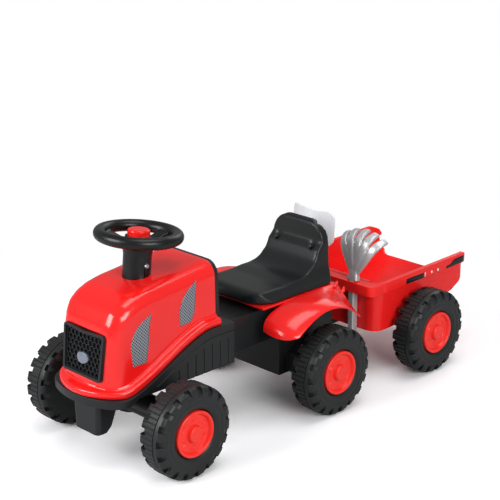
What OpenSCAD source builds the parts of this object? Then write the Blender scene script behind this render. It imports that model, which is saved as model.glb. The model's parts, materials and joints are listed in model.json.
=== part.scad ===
// Ride-on toy tractor with a trailer, a rake and a shovel.
// Millimetres. +X is forward, +Y is the tractor's left side, +Z is up.
// The modules work in the tractor's own frame, whose origin is the middle of the rear axle.
// placed() then moves each node so that the model stands on z = 0, centred over the origin.

/* [Wheels] */
// Diameter of every wheel over its lugs
wheel_d = 160; // [150:1:166]
// Width of every wheel
wheel_w = 52; // [46:1:56]
// Number of lugs round each half of a tyre
lug_count = 19; // [17:1:24]
// Height of the lugs
lug_h = 6; // [4:0.5:7]
// Wall of the moulded tyre
tyre_wall = 3.5; // [3:0.5:4.5]
// Diameter of the red wheel disc
disc_d = 80; // [72:1:88]
// Diameter of the steel axles
axle_d = 10; // [8:0.5:11]

/* [Layout] */
// Distance between the tractor's axles
wheelbase = 349; // [343:1:365]
// Width of the tractor over its wheels
track = 350; // [350:1:370]
// Width of the trailer over its wheels
trailer_track = 356; // [354:1:372]
// Distance from the tractor's rear axle to the trailer's axle
trailer_gap = 273; // [273:1:290]

/* [Chassis] */
// Width of the chassis at the nose
chassis_w = 180; // [174:1:182]
// How far the nose reaches ahead of the front axle
nose_reach = 110; // [107:1:125]
// Height of the chassis sides' lower edge above the axles
side_low = 50; // [47:1:52]
// Height of the nose's lower edge above the axles
nose_low = 39; // [37:1:44]
// Height of the hood's foot above the axles at the nose
foot_front = 53; // [51:1:60]
// Height of the hood's foot above the axles at the rear
foot_rear = 124; // [118:1:130]
// Wall of the moulded shells
wall = 3; // [2.5:0.5:4]
// Number of grooves in each side of the chassis
groove_count = 7; // [4:1:8]

/* [Hood] */
// Height of the hood's rear edge above the axles
hood_h = 232; // [226:1:240]
// Length of the hood's flat rear face ahead of the rear axle
hood_rear = 206; // [202:1:212]
// Width of the rolled foot round the hood, beyond the hood's side
foot_w = 9; // [7:0.5:10]
// Height of the rolled foot
foot_h = 14; // [10:1:18]
// Width of the grille
grille_w = 100; // [92:1:104]
// Height of the grille
grille_h = 80; // [74:1:84]
// Number of grille cells across
grille_cols = 9; // [6:1:10]

/* [Steering] */
// Outer diameter of the steering wheel
steer_d = 150; // [136:1:160]
// Thickness of the steering wheel's rim
steer_rim_d = 21; // [18:1:24]
// Height of the steering wheel above the front axle
steer_h = 290; // [282:1:305]
// Outer diameter of the steering column
column_d = 48; // [44:1:52]
// Lean of the steering column towards the rider, in degrees
steer_lean = 6; // [4:0.5:8]
// How far the front axle stands ahead of the steering axis
axle_lead = 8; // [5:1:10]
// Diameter of the steel steering rod
rod_d = 12; // [10:0.5:14]
// Diameter of the horn button
horn_d = 38; // [32:1:42]
// Travel of the horn button
horn_travel = 3; // [2:0.5:4]

/* [Seat and fenders] */
// Height of the seat above the axles
seat_h = 150; // [144:1:156]
// Height of the top of the backrest above the axles
back_h = 238; // [228:1:255]
// Width of the fenders' outer edges
fender_w = 300; // [290:1:310]
// Gap between the rear tyres and the fenders' arches
arch_gap = 32; // [26:1:36]

/* [Trailer] */
// Gap between the trailer's wheels and its tub
tub_gap = 10; // [8:1:16]
// Outer length of the trailer's tub
tub_l = 276; // [266:1:296]
// Height of the tub's floor above the axle
tub_low = 13; // [12:1:20]
// Height of the tub's front rim above the axle
rim_front = 109; // [104:1:118]
// Rise of the rim from the front to the rear
rim_rise = 4; // [0:1:10]
// Height of the rear sill above the axle
sill_h = 59; // [54:1:66]
// Depth of the shelf in front of the tub that holds the tools
shelf_l = 20; // [18:1:26]
// Thickness of the tools' square handles, front to back
handle_l = 15; // [12:0.5:16]
// Width of the tools' square handles
handle_w = 13; // [10:0.5:16]

/* [Fits] */
// Radial clearance of each shaft in its bore
shaft_fit = 0.05; // [0.02:0.01:0.09]
// Clearance between faces that slide past each other
slide_fit = 0.4; // [0.3:0.1:0.8]

/* [Hidden] */
$fn = 64;
curve_fn = 32;
BLACK = "#2b2d2e";
RED = "#e8231f";
STEEL = "#b8bcc0";
GREY = "#7d7b7a";
PALE = "#c9ccd3";

wheel_r = wheel_d / 2;
axle_r = axle_d / 2;
axle_z = wheel_r;
nose_x = wheelbase + nose_reach;
chassis_half = chassis_w / 2;
chassis_corner_r = 46;
chassis_front_r = 152;
foot_half = chassis_half - 8;
hood_half = foot_half - foot_w;
foot_corner_r = 50;
foot_front_r = 102;
foot_nose = nose_x - 3;
wide_rear = hood_rear - 26;

trailer_axle_x = -trailer_gap;
tub_ahead = 113;
tub_front = trailer_axle_x + tub_ahead;
tub_w = trailer_track - 2 * (wheel_w + tub_gap);
tub_rear = tub_front - tub_l;
rim_lip = 6;
origin_x = (nose_x + tub_rear - rim_lip) / 2;

WHEELS = [
    ["front_left", wheelbase, track / 2, 1],
    ["front_right", wheelbase, track / 2, -1],
    ["rear_left", 0, track / 2, 1],
    ["rear_right", 0, track / 2, -1],
    ["trailer_left", trailer_axle_x, trailer_track / 2, 1],
    ["trailer_right", trailer_axle_x, trailer_track / 2, -1]
];
BODY_NODES = [
    "chassis", "hood", "grille", "badge", "dashboard", "seat", "fenders",
    "rear_axle", "rear_axle_caps", "steering_bush", "hitch_pin", "body_screws",
    "steering_wheel", "steering_column", "column_screw", "steering_rod",
    "horn_button", "horn_spring", "axle_carrier", "front_axle", "front_axle_caps",
    "tub", "drawbar", "trailer_axle", "trailer_axle_caps", "tub_screws", "rake", "shovel"
];

// ---------- helpers ----------

module placed() translate([-origin_x, 0, axle_z]) children();

module both_sides() {
    children();
    mirror([0, 1, 0]) children();
}

// Extrudes an x-z profile along Y, centred.
module along_y(width) rotate([90, 0, 0]) linear_extrude(width, center = true) children();

// Extrudes a y-z profile along X, from x = 0.
module along_x(length) rotate([90, 0, 90]) linear_extrude(length) children();

module y_rod(radius, length) rotate([90, 0, 0]) cylinder(r = radius, h = length, center = true);

function arc(cx, cy, radius, from, to, steps) =
    [for (i = [0:steps]) let (a = from + (to - from) * i / steps)
        [cx + radius * cos(a), cy + radius * sin(a)]];

// A frame on the steering axis, with z along it and z = 0 level with the axles.
module on_steering_axis()
    translate([wheelbase - axle_lead, 0, 0]) rotate([0, -steer_lean, 0]) children();

// ---------- wheels, each along z from its inner face to its outer face ----------

valley_r = wheel_r - lug_h;
// The lugs' tops are flat, so their corners stand a little further out than wheel_r.
lug_corner_r = wheel_r / cos(90 / lug_count);
shoulder_r = 12;
disc_r = disc_d / 2;
disc_seat = wheel_w - 10;
disc_plate = 3;
hub_r = axle_r + 5;
bore_r = axle_r + shaft_fit;
hub_cap_r = 14;
hub_cap_h = 9;
cap_wall = 2.5;
parting_gap = 2;
band_w = 8;
band_r = wheel_r - 0.4;

// The section of a tyre's outer envelope, out to the given radius.
function tyre_section(radius) = concat(
    [[0, 0]],
    arc(radius - shoulder_r, shoulder_r, shoulder_r, -90, 0, 5),
    arc(radius - shoulder_r, wheel_w - shoulder_r, shoulder_r, 0, 90, 5),
    [[0, wheel_w]]
);

// The outline of a tyre's lugs, with one lug centred at the given angle.
function lug_outline(turn) =
    let (pitch = 360 / lug_count)
    [for (i = [0:lug_count - 1]) let (a = turn + i * pitch)
        for (corner = [[-0.34, valley_r - 1], [-0.25, lug_corner_r], [0.25, lug_corner_r], [0.34, valley_r - 1]])
            corner[1] * [cos(a + corner[0] * pitch), sin(a + corner[0] * pitch)]];

module tyre_lugs(z_from, z_to, turn) {
    translate([0, 0, z_from]) linear_extrude(z_to - z_from) polygon(lug_outline(turn));
}

module tyre_cavity() {
    inner_r = valley_r - tyre_wall;
    inner_shoulder = shoulder_r - tyre_wall;
    rotate_extrude() difference() {
        polygon(concat(
            [[hub_r, tyre_wall]],
            arc(inner_r - inner_shoulder, tyre_wall + inner_shoulder, inner_shoulder, -90, 0, 4),
            arc(inner_r - inner_shoulder, wheel_w - tyre_wall - inner_shoulder, inner_shoulder, 0, 90, 4),
            [[disc_r + tyre_wall, wheel_w - tyre_wall], [disc_r + tyre_wall, disc_seat - 2],
             [disc_r - 4, disc_seat - 2], [disc_r - 4, disc_seat], [hub_r, disc_seat]]
        ));
    }
}

module tyre() {
    middle = wheel_w / 2;
    half_gap = parting_gap / 2;
    difference() {
        union() {
            rotate_extrude() polygon(tyre_section(valley_r));
            // A band on each side of the parting groove joins the lugs.
            for (z = [middle - half_gap - band_w, middle + half_gap]) translate([0, 0, z]) cylinder(r = band_r, h = band_w);
            intersection() {
                union() {
                    tyre_lugs(0, middle - half_gap, -90);
                    tyre_lugs(middle + half_gap, wheel_w, -90 + 180 / lug_count);
                }
                rotate_extrude($fn = 72) polygon(tyre_section(lug_corner_r + 0.2));
            }
        }
        tyre_cavity();
        translate([0, 0, disc_seat]) cylinder(r = disc_r, h = wheel_w);
        translate([0, 0, -1]) cylinder(r = bore_r, h = wheel_w + 2);
    }
}

// The red disc: a raised outer ring, six dimples in a sunk plate, and a hub.
module disc() {
    ring_w = 6;
    dimple_r = 3;
    dimple_circle = (disc_r - ring_w + hub_cap_r) / 2;
    plate_top = disc_seat + disc_plate;
    difference() {
        rotate_extrude() polygon([
            [bore_r, disc_seat], [disc_r, disc_seat], [disc_r, wheel_w - 1],
            [disc_r - 1, wheel_w], [disc_r - ring_w + 2, wheel_w],
            [disc_r - ring_w, plate_top], [bore_r, plate_top]
        ]);
        for (i = [0:5])
            rotate([0, 0, 60 * i]) translate([dimple_circle, 0, plate_top - 1]) cylinder(r = dimple_r, h = 3);
    }
}

// The domed cap that hides the push-on cap of the axle.
module hub_cap() {
    foot = disc_seat + disc_plate;
    round_r = 3;
    difference() {
        rotate_extrude() polygon(concat(
            [[0, foot], [hub_cap_r, foot]],
            arc(hub_cap_r - round_r, foot + hub_cap_h - round_r, round_r, 0, 90, 4),
            [[0, foot + hub_cap_h]]
        ));
        translate([0, 0, foot - 1]) cylinder(r = hub_cap_r - cap_wall, h = hub_cap_h + 1 - cap_wall);
    }
}

module at_wheel(wheel)
    placed() translate([wheel[1], wheel[3] * (wheel[2] - wheel_w), 0])
        rotate([wheel[3] > 0 ? -90 : 90, 0, 0]) rotate([0, 0, wheel[3] > 0 ? 180 : 0]) children();

// An axle through a pair of wheels, and the caps pushed on its ends.
axle_end = disc_seat + disc_plate + 5;

module axle(width) y_rod(axle_r, width + 2 * (axle_end - wheel_w));

module axle_caps(width) {
    both_sides()
        translate([0, width / 2 - wheel_w + disc_seat + disc_plate + slide_fit, 0]) rotate([-90, 0, 0])
            difference() {
                cylinder(r = axle_r + 3, h = 5 - slide_fit);
                translate([0, 0, -1]) cylinder(r = axle_r, h = 7);
            }
}

// ---------- chassis ----------

curve_front = wheelbase + 66;
curve_rear = hood_rear + 29;
curve_steps = 14;

// Height of the hood's foot line at x: level at the nose, an S-curve, level at the rear.
function foot_z(x) =
    let (t = min(1, max(0, (curve_front - x) / (curve_front - curve_rear))))
    foot_front + (foot_rear - foot_front) * (t + (1 - cos(180 * t)) / 2) / 2;

// The foot line from the nose back to x_rear, moved up by lift.
function foot_line(lift, x_rear) = concat(
    [[nose_x + 2, foot_front + lift]],
    [for (i = [0:curve_steps]) let (x = curve_front - (curve_front - curve_rear) * i / curve_steps)
        [x, foot_z(x) + lift]],
    [[x_rear, foot_rear + lift]]
);

// The rounded plan of the nose. The front arc and the corner arcs are tangent.
module nose_plan(half, nose, front_r, corner_r, rear) {
    corner_y = half - corner_r;
    centre_x = nose - front_r;
    corner_x = centre_x + sqrt(pow(front_r - corner_r, 2) - pow(corner_y, 2));
    fan = atan2(corner_y, corner_x - centre_x);
    reach = 2 * front_r;
    intersection() {
        translate([centre_x, 0]) circle(front_r);
        polygon([[centre_x, 0], [centre_x + reach * cos(fan), -reach * sin(fan)],
                 [centre_x + reach * cos(fan), reach * sin(fan)]]);
    }
    translate([corner_x, corner_y]) circle(corner_r);
    translate([corner_x, -corner_y]) circle(corner_r);
    translate([rear, -half]) square([corner_x - rear, 2 * half]);
}

module chassis_plan(inset)
    nose_plan(chassis_half - inset, nose_x - inset, chassis_front_r - inset, chassis_corner_r - inset,
              wide_rear + inset);

module chassis_profile(inset)
    polygon(concat(
        [[wide_rear - 1, side_low - 2 * inset], [wheelbase + 46, side_low - 2 * inset],
         [wheelbase + 66, nose_low - 2 * inset], [nose_x + 2, nose_low - 2 * inset]],
        foot_line(-inset, wide_rear - 1)
    ));

waist_half = 60;
waist_top = foot_rear - 12;
waist_low = side_low;
pedestal_half = 82;
pedestal_front = 62;
pedestal_rear = 78;
fender_top = wheel_r + arch_gap + 13;
plate_t = wall + 1;
pedestal_top = fender_top - plate_t;
beam_half = track / 2 - wheel_w - slide_fit;
beam_low = axle_r + 9;
beam_front = 42;
beam_rear = 40;

keel_front = nose_x - 24;
keel_rear = wheelbase + 35;
keel_low = -24;
keel_half = 34;

bush_r = rod_d / 2 + 4;
boss_r = bush_r + 3.5;
boss_low = 38;
rod_r = rod_d / 2;

hitch_x = -pedestal_rear - 34;
hitch_z = 9;
eye_t = 10;
eye_r = 15;
pin_r = 5;
clevis_t = 6;

screw_r = 2;
screw_head_r = 4;
hood_nose = nose_x - 18;
hood_corner_r = 40;
hood_front_r = 190;
hood_corner_y = hood_half - hood_corner_r;
hood_corner_x = hood_nose - hood_front_r + sqrt(pow(hood_front_r - hood_corner_r, 2) - pow(hood_corner_y, 2));
boss_reach = (hood_corner_r - wall - 2) * sin(45);
screw_spots = [[hood_corner_x + boss_reach, hood_corner_y + boss_reach], [hood_rear + 16, hood_half - 6]];

module front_shell() {
    difference() {
        intersection() {
            linear_extrude(foot_rear) chassis_plan(0);
            along_y(chassis_w + 2) chassis_profile(0);
        }
        intersection() {
            translate([0, 0, -1]) linear_extrude(foot_rear) chassis_plan(wall);
            along_y(chassis_w) chassis_profile(wall);
        }
    }
}

// The tapered block under the nose.
module keel() {
    hull() {
        translate([keel_rear + 27, 0, keel_low]) keel_slab(nose_x - 51 - keel_rear, keel_half - 4);
        translate([keel_rear + 18, 0, keel_low + 10]) keel_slab(nose_x - 43 - keel_rear, keel_half - 2);
        translate([keel_rear, 0, nose_low - 2]) keel_slab(keel_front - keel_rear, keel_half);
        translate([keel_rear, 0, foot_front - wall - 0.5]) keel_slab(keel_front - keel_rear, keel_half);
    }
}

module keel_slab(length, half)
    for (x = [8, length - 8], y = [8 - half, half - 8])
        translate([x, y, 0]) cylinder(r = 8, h = 1, $fn = curve_fn);

module chassis_body() {
    front_shell();
    keel();
    // The narrow waist that the rider's legs straddle, open underneath.
    difference() {
        translate([pedestal_front - 2, -waist_half, waist_low])
            cube([wide_rear - pedestal_front + 4, 2 * waist_half, waist_top - waist_low]);
        translate([pedestal_front + wall, -waist_half + wall, waist_low - 1])
            cube([wide_rear - pedestal_front - 2 * wall, 2 * (waist_half - wall), waist_top - waist_low + 1 - wall]);
    }
    // The pedestal under the seat.
    difference() {
        translate([-pedestal_rear, -pedestal_half, -beam_low])
            cube([pedestal_front + pedestal_rear, 2 * pedestal_half, pedestal_top + beam_low]);
        translate([wall - pedestal_rear, wall - pedestal_half, -beam_low - 1])
            cube([pedestal_front + pedestal_rear - 2 * wall, 2 * (pedestal_half - wall),
                  pedestal_top + beam_low + 1 - wall]);
    }
    rear_beam();
    hitch_clevis();
    steering_boss();
}

// The boss round the steering rod hangs from the deck, so its top follows the deck's slope.
module steering_boss() {
    intersection() {
        on_steering_axis() translate([0, 0, boss_low]) cylinder(r = boss_r, h = foot_rear);
        translate([0, 0, -1]) under_foot();
    }
}

// The beam that carries the rear axle, out to the wheels on both sides.
module rear_beam() {
    along_y(2 * beam_half) polygon(concat(
        [[-beam_rear, -beam_low + 6], [-beam_rear + 6, -beam_low], [beam_front - 6, -beam_low],
         [beam_front, -beam_low + 6], [beam_front, 26]],
        [[18, 44], [-18, 44], [-beam_rear, 26]]
    ));
}

module hitch_clevis() {
    for (z = [hitch_z - eye_t / 2 - slide_fit - clevis_t, hitch_z + eye_t / 2 + slide_fit])
        translate([hitch_x, 0, z]) {
            cylinder(r = eye_r, h = clevis_t);
            translate([0, -eye_r, 0]) cube([-hitch_x - pedestal_rear + 2, 2 * eye_r, clevis_t]);
        }
}

module side_grooves() {
    pitch = 18.7;
    for (i = [0:groove_count - 1])
        let (x = wide_rear + 14 + i * pitch)
            translate([x, chassis_half - 1.2, side_low - 1])
                cube([2, 3, foot_z(x) - side_low - 24]);
}

// A fine seam that runs along under the hood's foot.
module side_seam() {
    translate([0, chassis_half, 0]) rotate([90, 0, 0])
        linear_extrude(0.8) polygon(concat(
            [for (i = [0:curve_steps]) let (x = wheelbase + 6 - (wheelbase + 6 - wide_rear) * i / curve_steps)
                [x, foot_z(x) - 14]],
            [for (i = [curve_steps:-1:0]) let (x = wheelbase + 6 - (wheelbase + 6 - wide_rear) * i / curve_steps)
                [x, foot_z(x) - 15.2]]
        ));
}

module chassis() {
    color(BLACK) placed() difference() {
        chassis_body();
        y_rod(axle_r, 2 * beam_half + 2);
        on_steering_axis() cylinder(r = bush_r, h = 2 * foot_rear);
        both_sides() {
            side_grooves();
            side_seam();
            for (spot = screw_spots)
                translate([spot[0], spot[1], 0]) cylinder(r = screw_r, h = 2 * foot_rear);
        }
        translate([hitch_x, 0, hitch_z - 50]) cylinder(r = pin_r, h = 100);
    }
}

module steering_bush() {
    color(PALE) placed() on_steering_axis() difference() {
        union() {
            translate([0, 0, boss_low]) cylinder(r = bush_r, h = foot_z(wheelbase) - boss_low - 2);
            translate([0, 0, boss_low - 2]) cylinder(r = boss_r, h = 2);
        }
        translate([0, 0, boss_low - 3]) cylinder(r = rod_r + shaft_fit, h = foot_rear);
    }
}

module hitch_pin() {
    low = hitch_z - eye_t / 2 - slide_fit - clevis_t;
    high = hitch_z + eye_t / 2 + slide_fit + clevis_t;
    color(RED) placed() translate([hitch_x, 0, 0]) {
        translate([0, 0, low - 6]) cylinder(r = pin_r, h = high - low + 6);
        translate([0, 0, high]) cylinder(r = pin_r + 5, h = 8);
    }
}

// Screws through the chassis deck into the hood's bosses.
module body_screws() {
    color(STEEL) placed() both_sides() for (spot = screw_spots)
        translate([spot[0], spot[1], foot_z(spot[0])]) {
            translate([0, 0, -wall - 3]) cylinder(r = screw_head_r, h = 3);
            translate([0, 0, -wall]) cylinder(r = screw_r, h = wall + 10);
        }
}

module rear_axle() color(STEEL) placed() axle(track);
module rear_axle_caps() color(STEEL) placed() axle_caps(track);

// ---------- hood, grille and dashboard ----------

shoulder = 26;
shoulder_y = hood_half - shoulder - 3;
base_top = 70;
roof_spots = [[nose_x - 57, hood_h - 84], [nose_x - 60, hood_h - 69], [nose_x - 65, hood_h - 58],
              [nose_x - 74, hood_h - 51], [nose_x - 88, hood_h - 45], [nose_x - 112, hood_h - 40]];
roof_rear = hood_h - shoulder;

// The hood's smooth shell, or its inside when inset by the wall.
module hood_form(inset) {
    hull() {
        translate([0, 0, foot_front - 1]) linear_extrude(base_top - foot_front + 1)
            nose_plan(hood_half - inset, hood_nose - inset, hood_front_r - inset, hood_corner_r - inset,
                      hood_rear + inset, $fn = curve_fn);
        both_sides() {
            for (spot = roof_spots)
                translate([spot[0], shoulder_y, spot[1]]) sphere(r = shoulder - inset, $fn = curve_fn);
            translate([hood_rear + inset, shoulder_y, roof_rear]) rotate([0, 90, 0])
                cylinder(r = shoulder - inset, h = 10, $fn = curve_fn);
        }
    }
}

// The foot stands out round the hood in two steps.
module hood_foot() {
    for (step = [[0, foot_h - 3], [foot_w / 2, foot_h]])
        intersection() {
            linear_extrude(2 * foot_rear)
                nose_plan(foot_half - step[0], foot_nose - step[0], foot_front_r - step[0],
                          foot_corner_r - step[0], hood_rear);
            along_y(chassis_w) polygon(concat(
                foot_line(step[1], hood_rear - 1),
                [for (i = [len(foot_line(0, 0)) - 1:-1:0]) foot_line(-1, hood_rear - 1)[i]]
            ));
        }
}

module under_foot()
    along_y(2 * chassis_w) polygon(concat([[hood_rear - 9, -1], [nose_x + 2, -1]], foot_line(0, hood_rear - 9)));

// The grille's own frame: x points out of the nose, z runs up its leaning face.
grille_low = base_top + 7;
grille_lean = 6.4;
grille_back = 8;
module on_grille() translate([nose_x - 20, 0, grille_low]) rotate([0, -grille_lean, 0]) children();

// The grille's outline is wider at its top, and its top edge dips in the middle.
function grille_outline(margin) =
    let (r = max(1.5, 6 - margin), low = grille_w / 2 - 2 - margin, top = grille_w / 2 + 1 - margin,
         high = grille_h - margin)
    concat(
        arc(r - low, margin + r, r, 180, 270, 4),
        arc(low - r, margin + r, r, 270, 360, 4),
        arc(top - r, high - r, r, 0, 90, 4),
        [for (t = [0.5, 0, -0.5]) [t * top, high - 3 * cos(t * 140)]],
        arc(r - top, high - r, r, 90, 180, 4)
    );

module hood() {
    color(RED) placed() difference() {
        union() {
            hood_form(0);
            hood_foot();
        }
        difference() {
            hood_form(wall);
            on_grille() translate([-grille_back - wall, -grille_w, -20]) cube([60, 2 * grille_w, 2 * grille_h]);
            for (spot = screw_spots, side = [1, -1])
                translate([spot[0], side * spot[1], 0]) cylinder(r = screw_r + 3, h = foot_z(spot[0]) + 16);
        }
        under_foot();
        on_grille() translate([-grille_back, 0, 0]) along_x(60) polygon(grille_outline(0));
        on_steering_axis() translate([0, 0, hood_h - 60]) cylinder(r = column_r + 0.8, h = 100);
        for (spot = screw_spots, side = [1, -1])
            translate([spot[0], side * spot[1], 0]) cylinder(r = screw_r, h = foot_z(spot[0]) + 11);
    }
}

// The grille: a back plate, a raised frame and a mesh of slanted six-sided cells.
module grille() {
    plate = 2;
    mesh_top = grille_back - 2;
    cell = grille_w / grille_cols / 2;
    rows = floor(grille_h / cell / 1.5);
    color(BLACK) placed() on_grille() translate([-grille_back, 0, 0]) {
        difference() {
            along_x(grille_back + 2) polygon(grille_outline(0.2));
            translate([plate, 0, 0]) along_x(20) polygon(grille_outline(5));
        }
        difference() {
            translate([plate - 0.5, 0, 0]) along_x(mesh_top - plate + 0.5) polygon(grille_outline(4.5));
            translate([plate, 0, 0]) along_x(20) intersection() {
                polygon(grille_outline(6));
                for (row = [0:rows], col = [-grille_cols:grille_cols])
                    translate([(col + (row % 2) / 2) * 2 * cell * 0.9, row * 1.5 * cell])
                        rotate(20) circle(r = cell * 0.88, $fn = 6);
            }
        }
    }
}

badge_z = 31;
badge_half = 14;
badge_ratio = 0.68;

// The bare oval badge, a little domed.
module badge() {
    dome_r = 35;
    oval = [for (a = [0:10:350]) badge_half * [cos(a), badge_ratio * sin(a)]];
    color(PALE) placed() on_grille() translate([-2, 0, badge_z]) intersection() {
        along_x(6) polygon(oval);
        translate([6 - dome_r, 0, 0]) sphere(r = dome_r);
    }
}

// The section of the hood's rear end, grown all round.
function rear_section(grow) = concat(
    [[-hood_half - grow, foot_rear], [hood_half + grow, foot_rear]],
    arc(shoulder_y, roof_rear, shoulder + grow, 4, 90, 6),
    arc(-shoulder_y, roof_rear, shoulder + grow, 90, 176, 6)
);

// The panel that closes the hood's rear end, with a sunk middle.
module dashboard() {
    panel = 9;
    color(BLACK) placed() translate([hood_rear - panel, 0, 0]) difference() {
        along_x(panel) polygon(rear_section(-1));
        translate([-1, 0, 0]) along_x(3) intersection() {
            polygon(rear_section(-12));
            translate([-hood_half, foot_rear + 12]) square([2 * hood_half, roof_rear]);
        }
    }
}

// ---------- seat and fenders ----------

seat_rear = -88;
seat_front = 110;
seat_low = pedestal_top + plate_t;
seat_half = 82;
back_half = 63;

// The seat: a saddle that widens at its foot, and a backrest with broad round shoulders.
module seat_form() {
    back_r = 44;
    step_z = seat_low + 13;
    intersection() {
        along_y(2 * seat_half + 2) polygon(concat(
            [[seat_rear, seat_low], [seat_front, seat_low]],
            arc(seat_front - 14, seat_h - 18, 14, 0, 90, 4),
            [[34, seat_h - 5], [6, seat_h - 2]],
            arc(-8, seat_h + 48, 50, 268, 194, 7),
            [[seat_rear + 19, back_h - 38]],
            arc(seat_rear + 10, back_h - 10, 9, 10, 90, 3),
            arc(seat_rear + 8, back_h - 9, 8, 90, 180, 4)
        ));
        translate([seat_rear - 1, 0, 0]) along_x(seat_front - seat_rear + 2) polygon(concat(
            [[-seat_half, seat_low], [seat_half, seat_low], [seat_half - 1, seat_low + 5],
             [seat_half - 9, step_z], [back_half + 3, step_z + 14]],
            arc(back_half - back_r, back_h - back_r, back_r, 6, 90, 7),
            arc(back_r - back_half, back_h - back_r, back_r, 90, 174, 7),
            [[-back_half - 3, step_z + 14], [9 - seat_half, step_z], [1 - seat_half, seat_low + 5]]
        ));
        linear_extrude(2 * back_h) seat_plan();
    }
}

module seat_plan() {
    front_r = 46;
    rear_r = 24;
    translate([seat_rear + rear_r, -seat_half]) square([seat_front - seat_rear - front_r - rear_r, 2 * seat_half]);
    for (y = [rear_r - seat_half, seat_half - rear_r]) translate([seat_rear + rear_r, y]) circle(rear_r);
    translate([seat_rear, front_r - seat_half]) square([seat_front - seat_rear, 2 * (seat_half - front_r)]);
    for (y = [front_r - seat_half, seat_half - front_r]) translate([seat_front - front_r, y]) circle(front_r);
}

module seat() {
    color(BLACK) placed() difference() {
        seat_form();
        // The hollow under the seat.
        translate([seat_rear + 6, -seat_half + 12, seat_low - 1])
            cube([seat_front - seat_rear - 30, 2 * seat_half - 24, 12]);
        // Two channels up the front of the backrest.
        both_sides() translate([seat_rear + 24, back_half - 20, seat_h + 20])
            cylinder(r = 5, h = back_h - seat_h - 46);
    }
}

arch_r = wheel_r + arch_gap;
fender_half = fender_w / 2;
fender_root = pedestal_half;

// One cross-section of a fender, as a thin slab across Y.
module fender_slab(y, points) translate([0, y, 0]) along_y(2) polygon(points);

function crown(radius, drop) = [for (a = [44:8:132])
    let (r = radius - drop * max(0, a - 90) / 46) [r * cos(a), r * sin(a)]];

module fender_form() {
    hull() {
        fender_slab(fender_root + 1, [[seat_rear, fender_top - 22], [seat_rear, fender_top], [30, fender_top],
                                      [62, fender_top - 5], [86, fender_top - 16], [104, fender_top - 32],
                                      [104, arch_r - 31], [60, arch_r - 40]]);
        fender_slab(fender_half - 28, concat([[98, arch_r - 32]], crown(fender_top, 4), [[-80, 76]]));
        fender_slab(fender_half - 1, concat([[94, arch_r - 32]], crown(arch_r + 3, 0), [[-80, 76]]));
    }
}

module fenders() {
    tab = [[0, 0], [14, 0], [0, 13]];
    color(RED) placed() {
        both_sides() difference() {
            fender_form();
            y_rod(arch_r, 2 * fender_half + 2);
            translate([0, fender_root + wall - 1, 0]) fender_hollow();
        }
        translate([seat_rear, -fender_root, pedestal_top])
            cube([seat_front - seat_rear - 8, 2 * fender_root, plate_t]);
        both_sides() for (spot = [[seat_rear + 3, fender_root + 5, fender_top - 3],
                                  [seat_rear + 10, fender_root + 28, fender_top - 9]])
            translate(spot) along_y(4) polygon(tab);
    }
}

// The room under a fender's front and rear ends.
module fender_hollow()
    translate([0, 20, 0]) along_y(40) polygon([[-66, arch_r - 20], [-76, fender_top - 20], [60, fender_top - 20]]);

// ---------- steering: everything here turns about the leaning axis ----------

column_r = column_d / 2;
rim_r = steer_rim_d / 2;
horn_r = horn_d / 2;
horn_h = 25;
horn_top = steer_h + 10;
horn_floor = horn_top - horn_h - horn_travel;
hub_top = horn_top - 11;
cup_r = horn_r + slide_fit + wall;
column_top = horn_floor - wall;
column_low = hood_h - 42;
rod_low = -14;
screw_z = steer_h - 48;
beam_z = 17;
beam_r = 17;
carrier_half = track / 2 - wheel_w - slide_fit;

// The wheel: a thick rim, three dished spokes and a cup for the horn button.
module steering_wheel() {
    rim_c = steer_d / 2 - rim_r;
    spoke_w = 30;
    color(BLACK) placed() on_steering_axis() difference() {
        union() {
            translate([0, 0, steer_h]) rotate_extrude() translate([rim_c, 0]) circle(r = rim_r, $fn = 24);
            translate([0, 0, column_top]) cylinder(r = cup_r, h = hub_top - column_top);
            intersection() {
                rotate_extrude() polygon([
                    [cup_r - 1, column_top], [cup_r + 6, column_top], [rim_c, steer_h - 5],
                    [rim_c, steer_h + 4], [rim_c - 8, steer_h + 2], [cup_r + 4, column_top + 6],
                    [cup_r - 1, column_top + 6]
                ]);
                for (a = [0, 120, 240])
                    rotate([0, 0, a + 180]) translate([0, -spoke_w / 2, 0])
                        cube([steer_d, spoke_w, 2 * steer_h]);
            }
        }
        translate([0, 0, horn_floor]) cylinder(r = horn_r + slide_fit, h = 50);
        translate([0, 0, column_top - 1]) cylinder(r = rod_r + shaft_fit, h = wall + 2);
    }
}

// The tube between the hood and the wheel.
module steering_column() {
    color(BLACK) placed() on_steering_axis() difference() {
        rotate_extrude() polygon([
            [0, column_low], [column_r, column_low], [column_r, column_top - 12],
            [column_r + 2, column_top], [0, column_top]
        ]);
        translate([0, 0, column_low + 4]) cylinder(r = column_r - wall, h = column_top - column_low - 8);
        translate([0, 0, column_low - 1]) cylinder(r = rod_r + shaft_fit, h = column_top - column_low + 2);
        translate([0, 15, screw_z]) y_rod(screw_r + shaft_fit, 40);
    }
}

module steering_rod() {
    color(STEEL) placed() on_steering_axis() difference() {
        translate([0, 0, rod_low]) cylinder(r = rod_r, h = horn_floor - rod_low);
        translate([0, 0, screw_z]) y_rod(screw_r + shaft_fit, rod_d + 2);
    }
}

module column_screw() {
    color(STEEL) placed() on_steering_axis() translate([0, 0, screw_z]) {
        translate([0, column_r / 2 - 4, 0]) y_rod(screw_r, column_r + 8);
        translate([0, column_r, 0]) rotate([-90, 0, 0]) difference() {
            cylinder(r1 = screw_head_r, r2 = screw_head_r - 1, h = 2.5);
            translate([0, 0, 1.2]) cylinder(r = 1.6, h = 2, $fn = 6);
        }
    }
}

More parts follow.
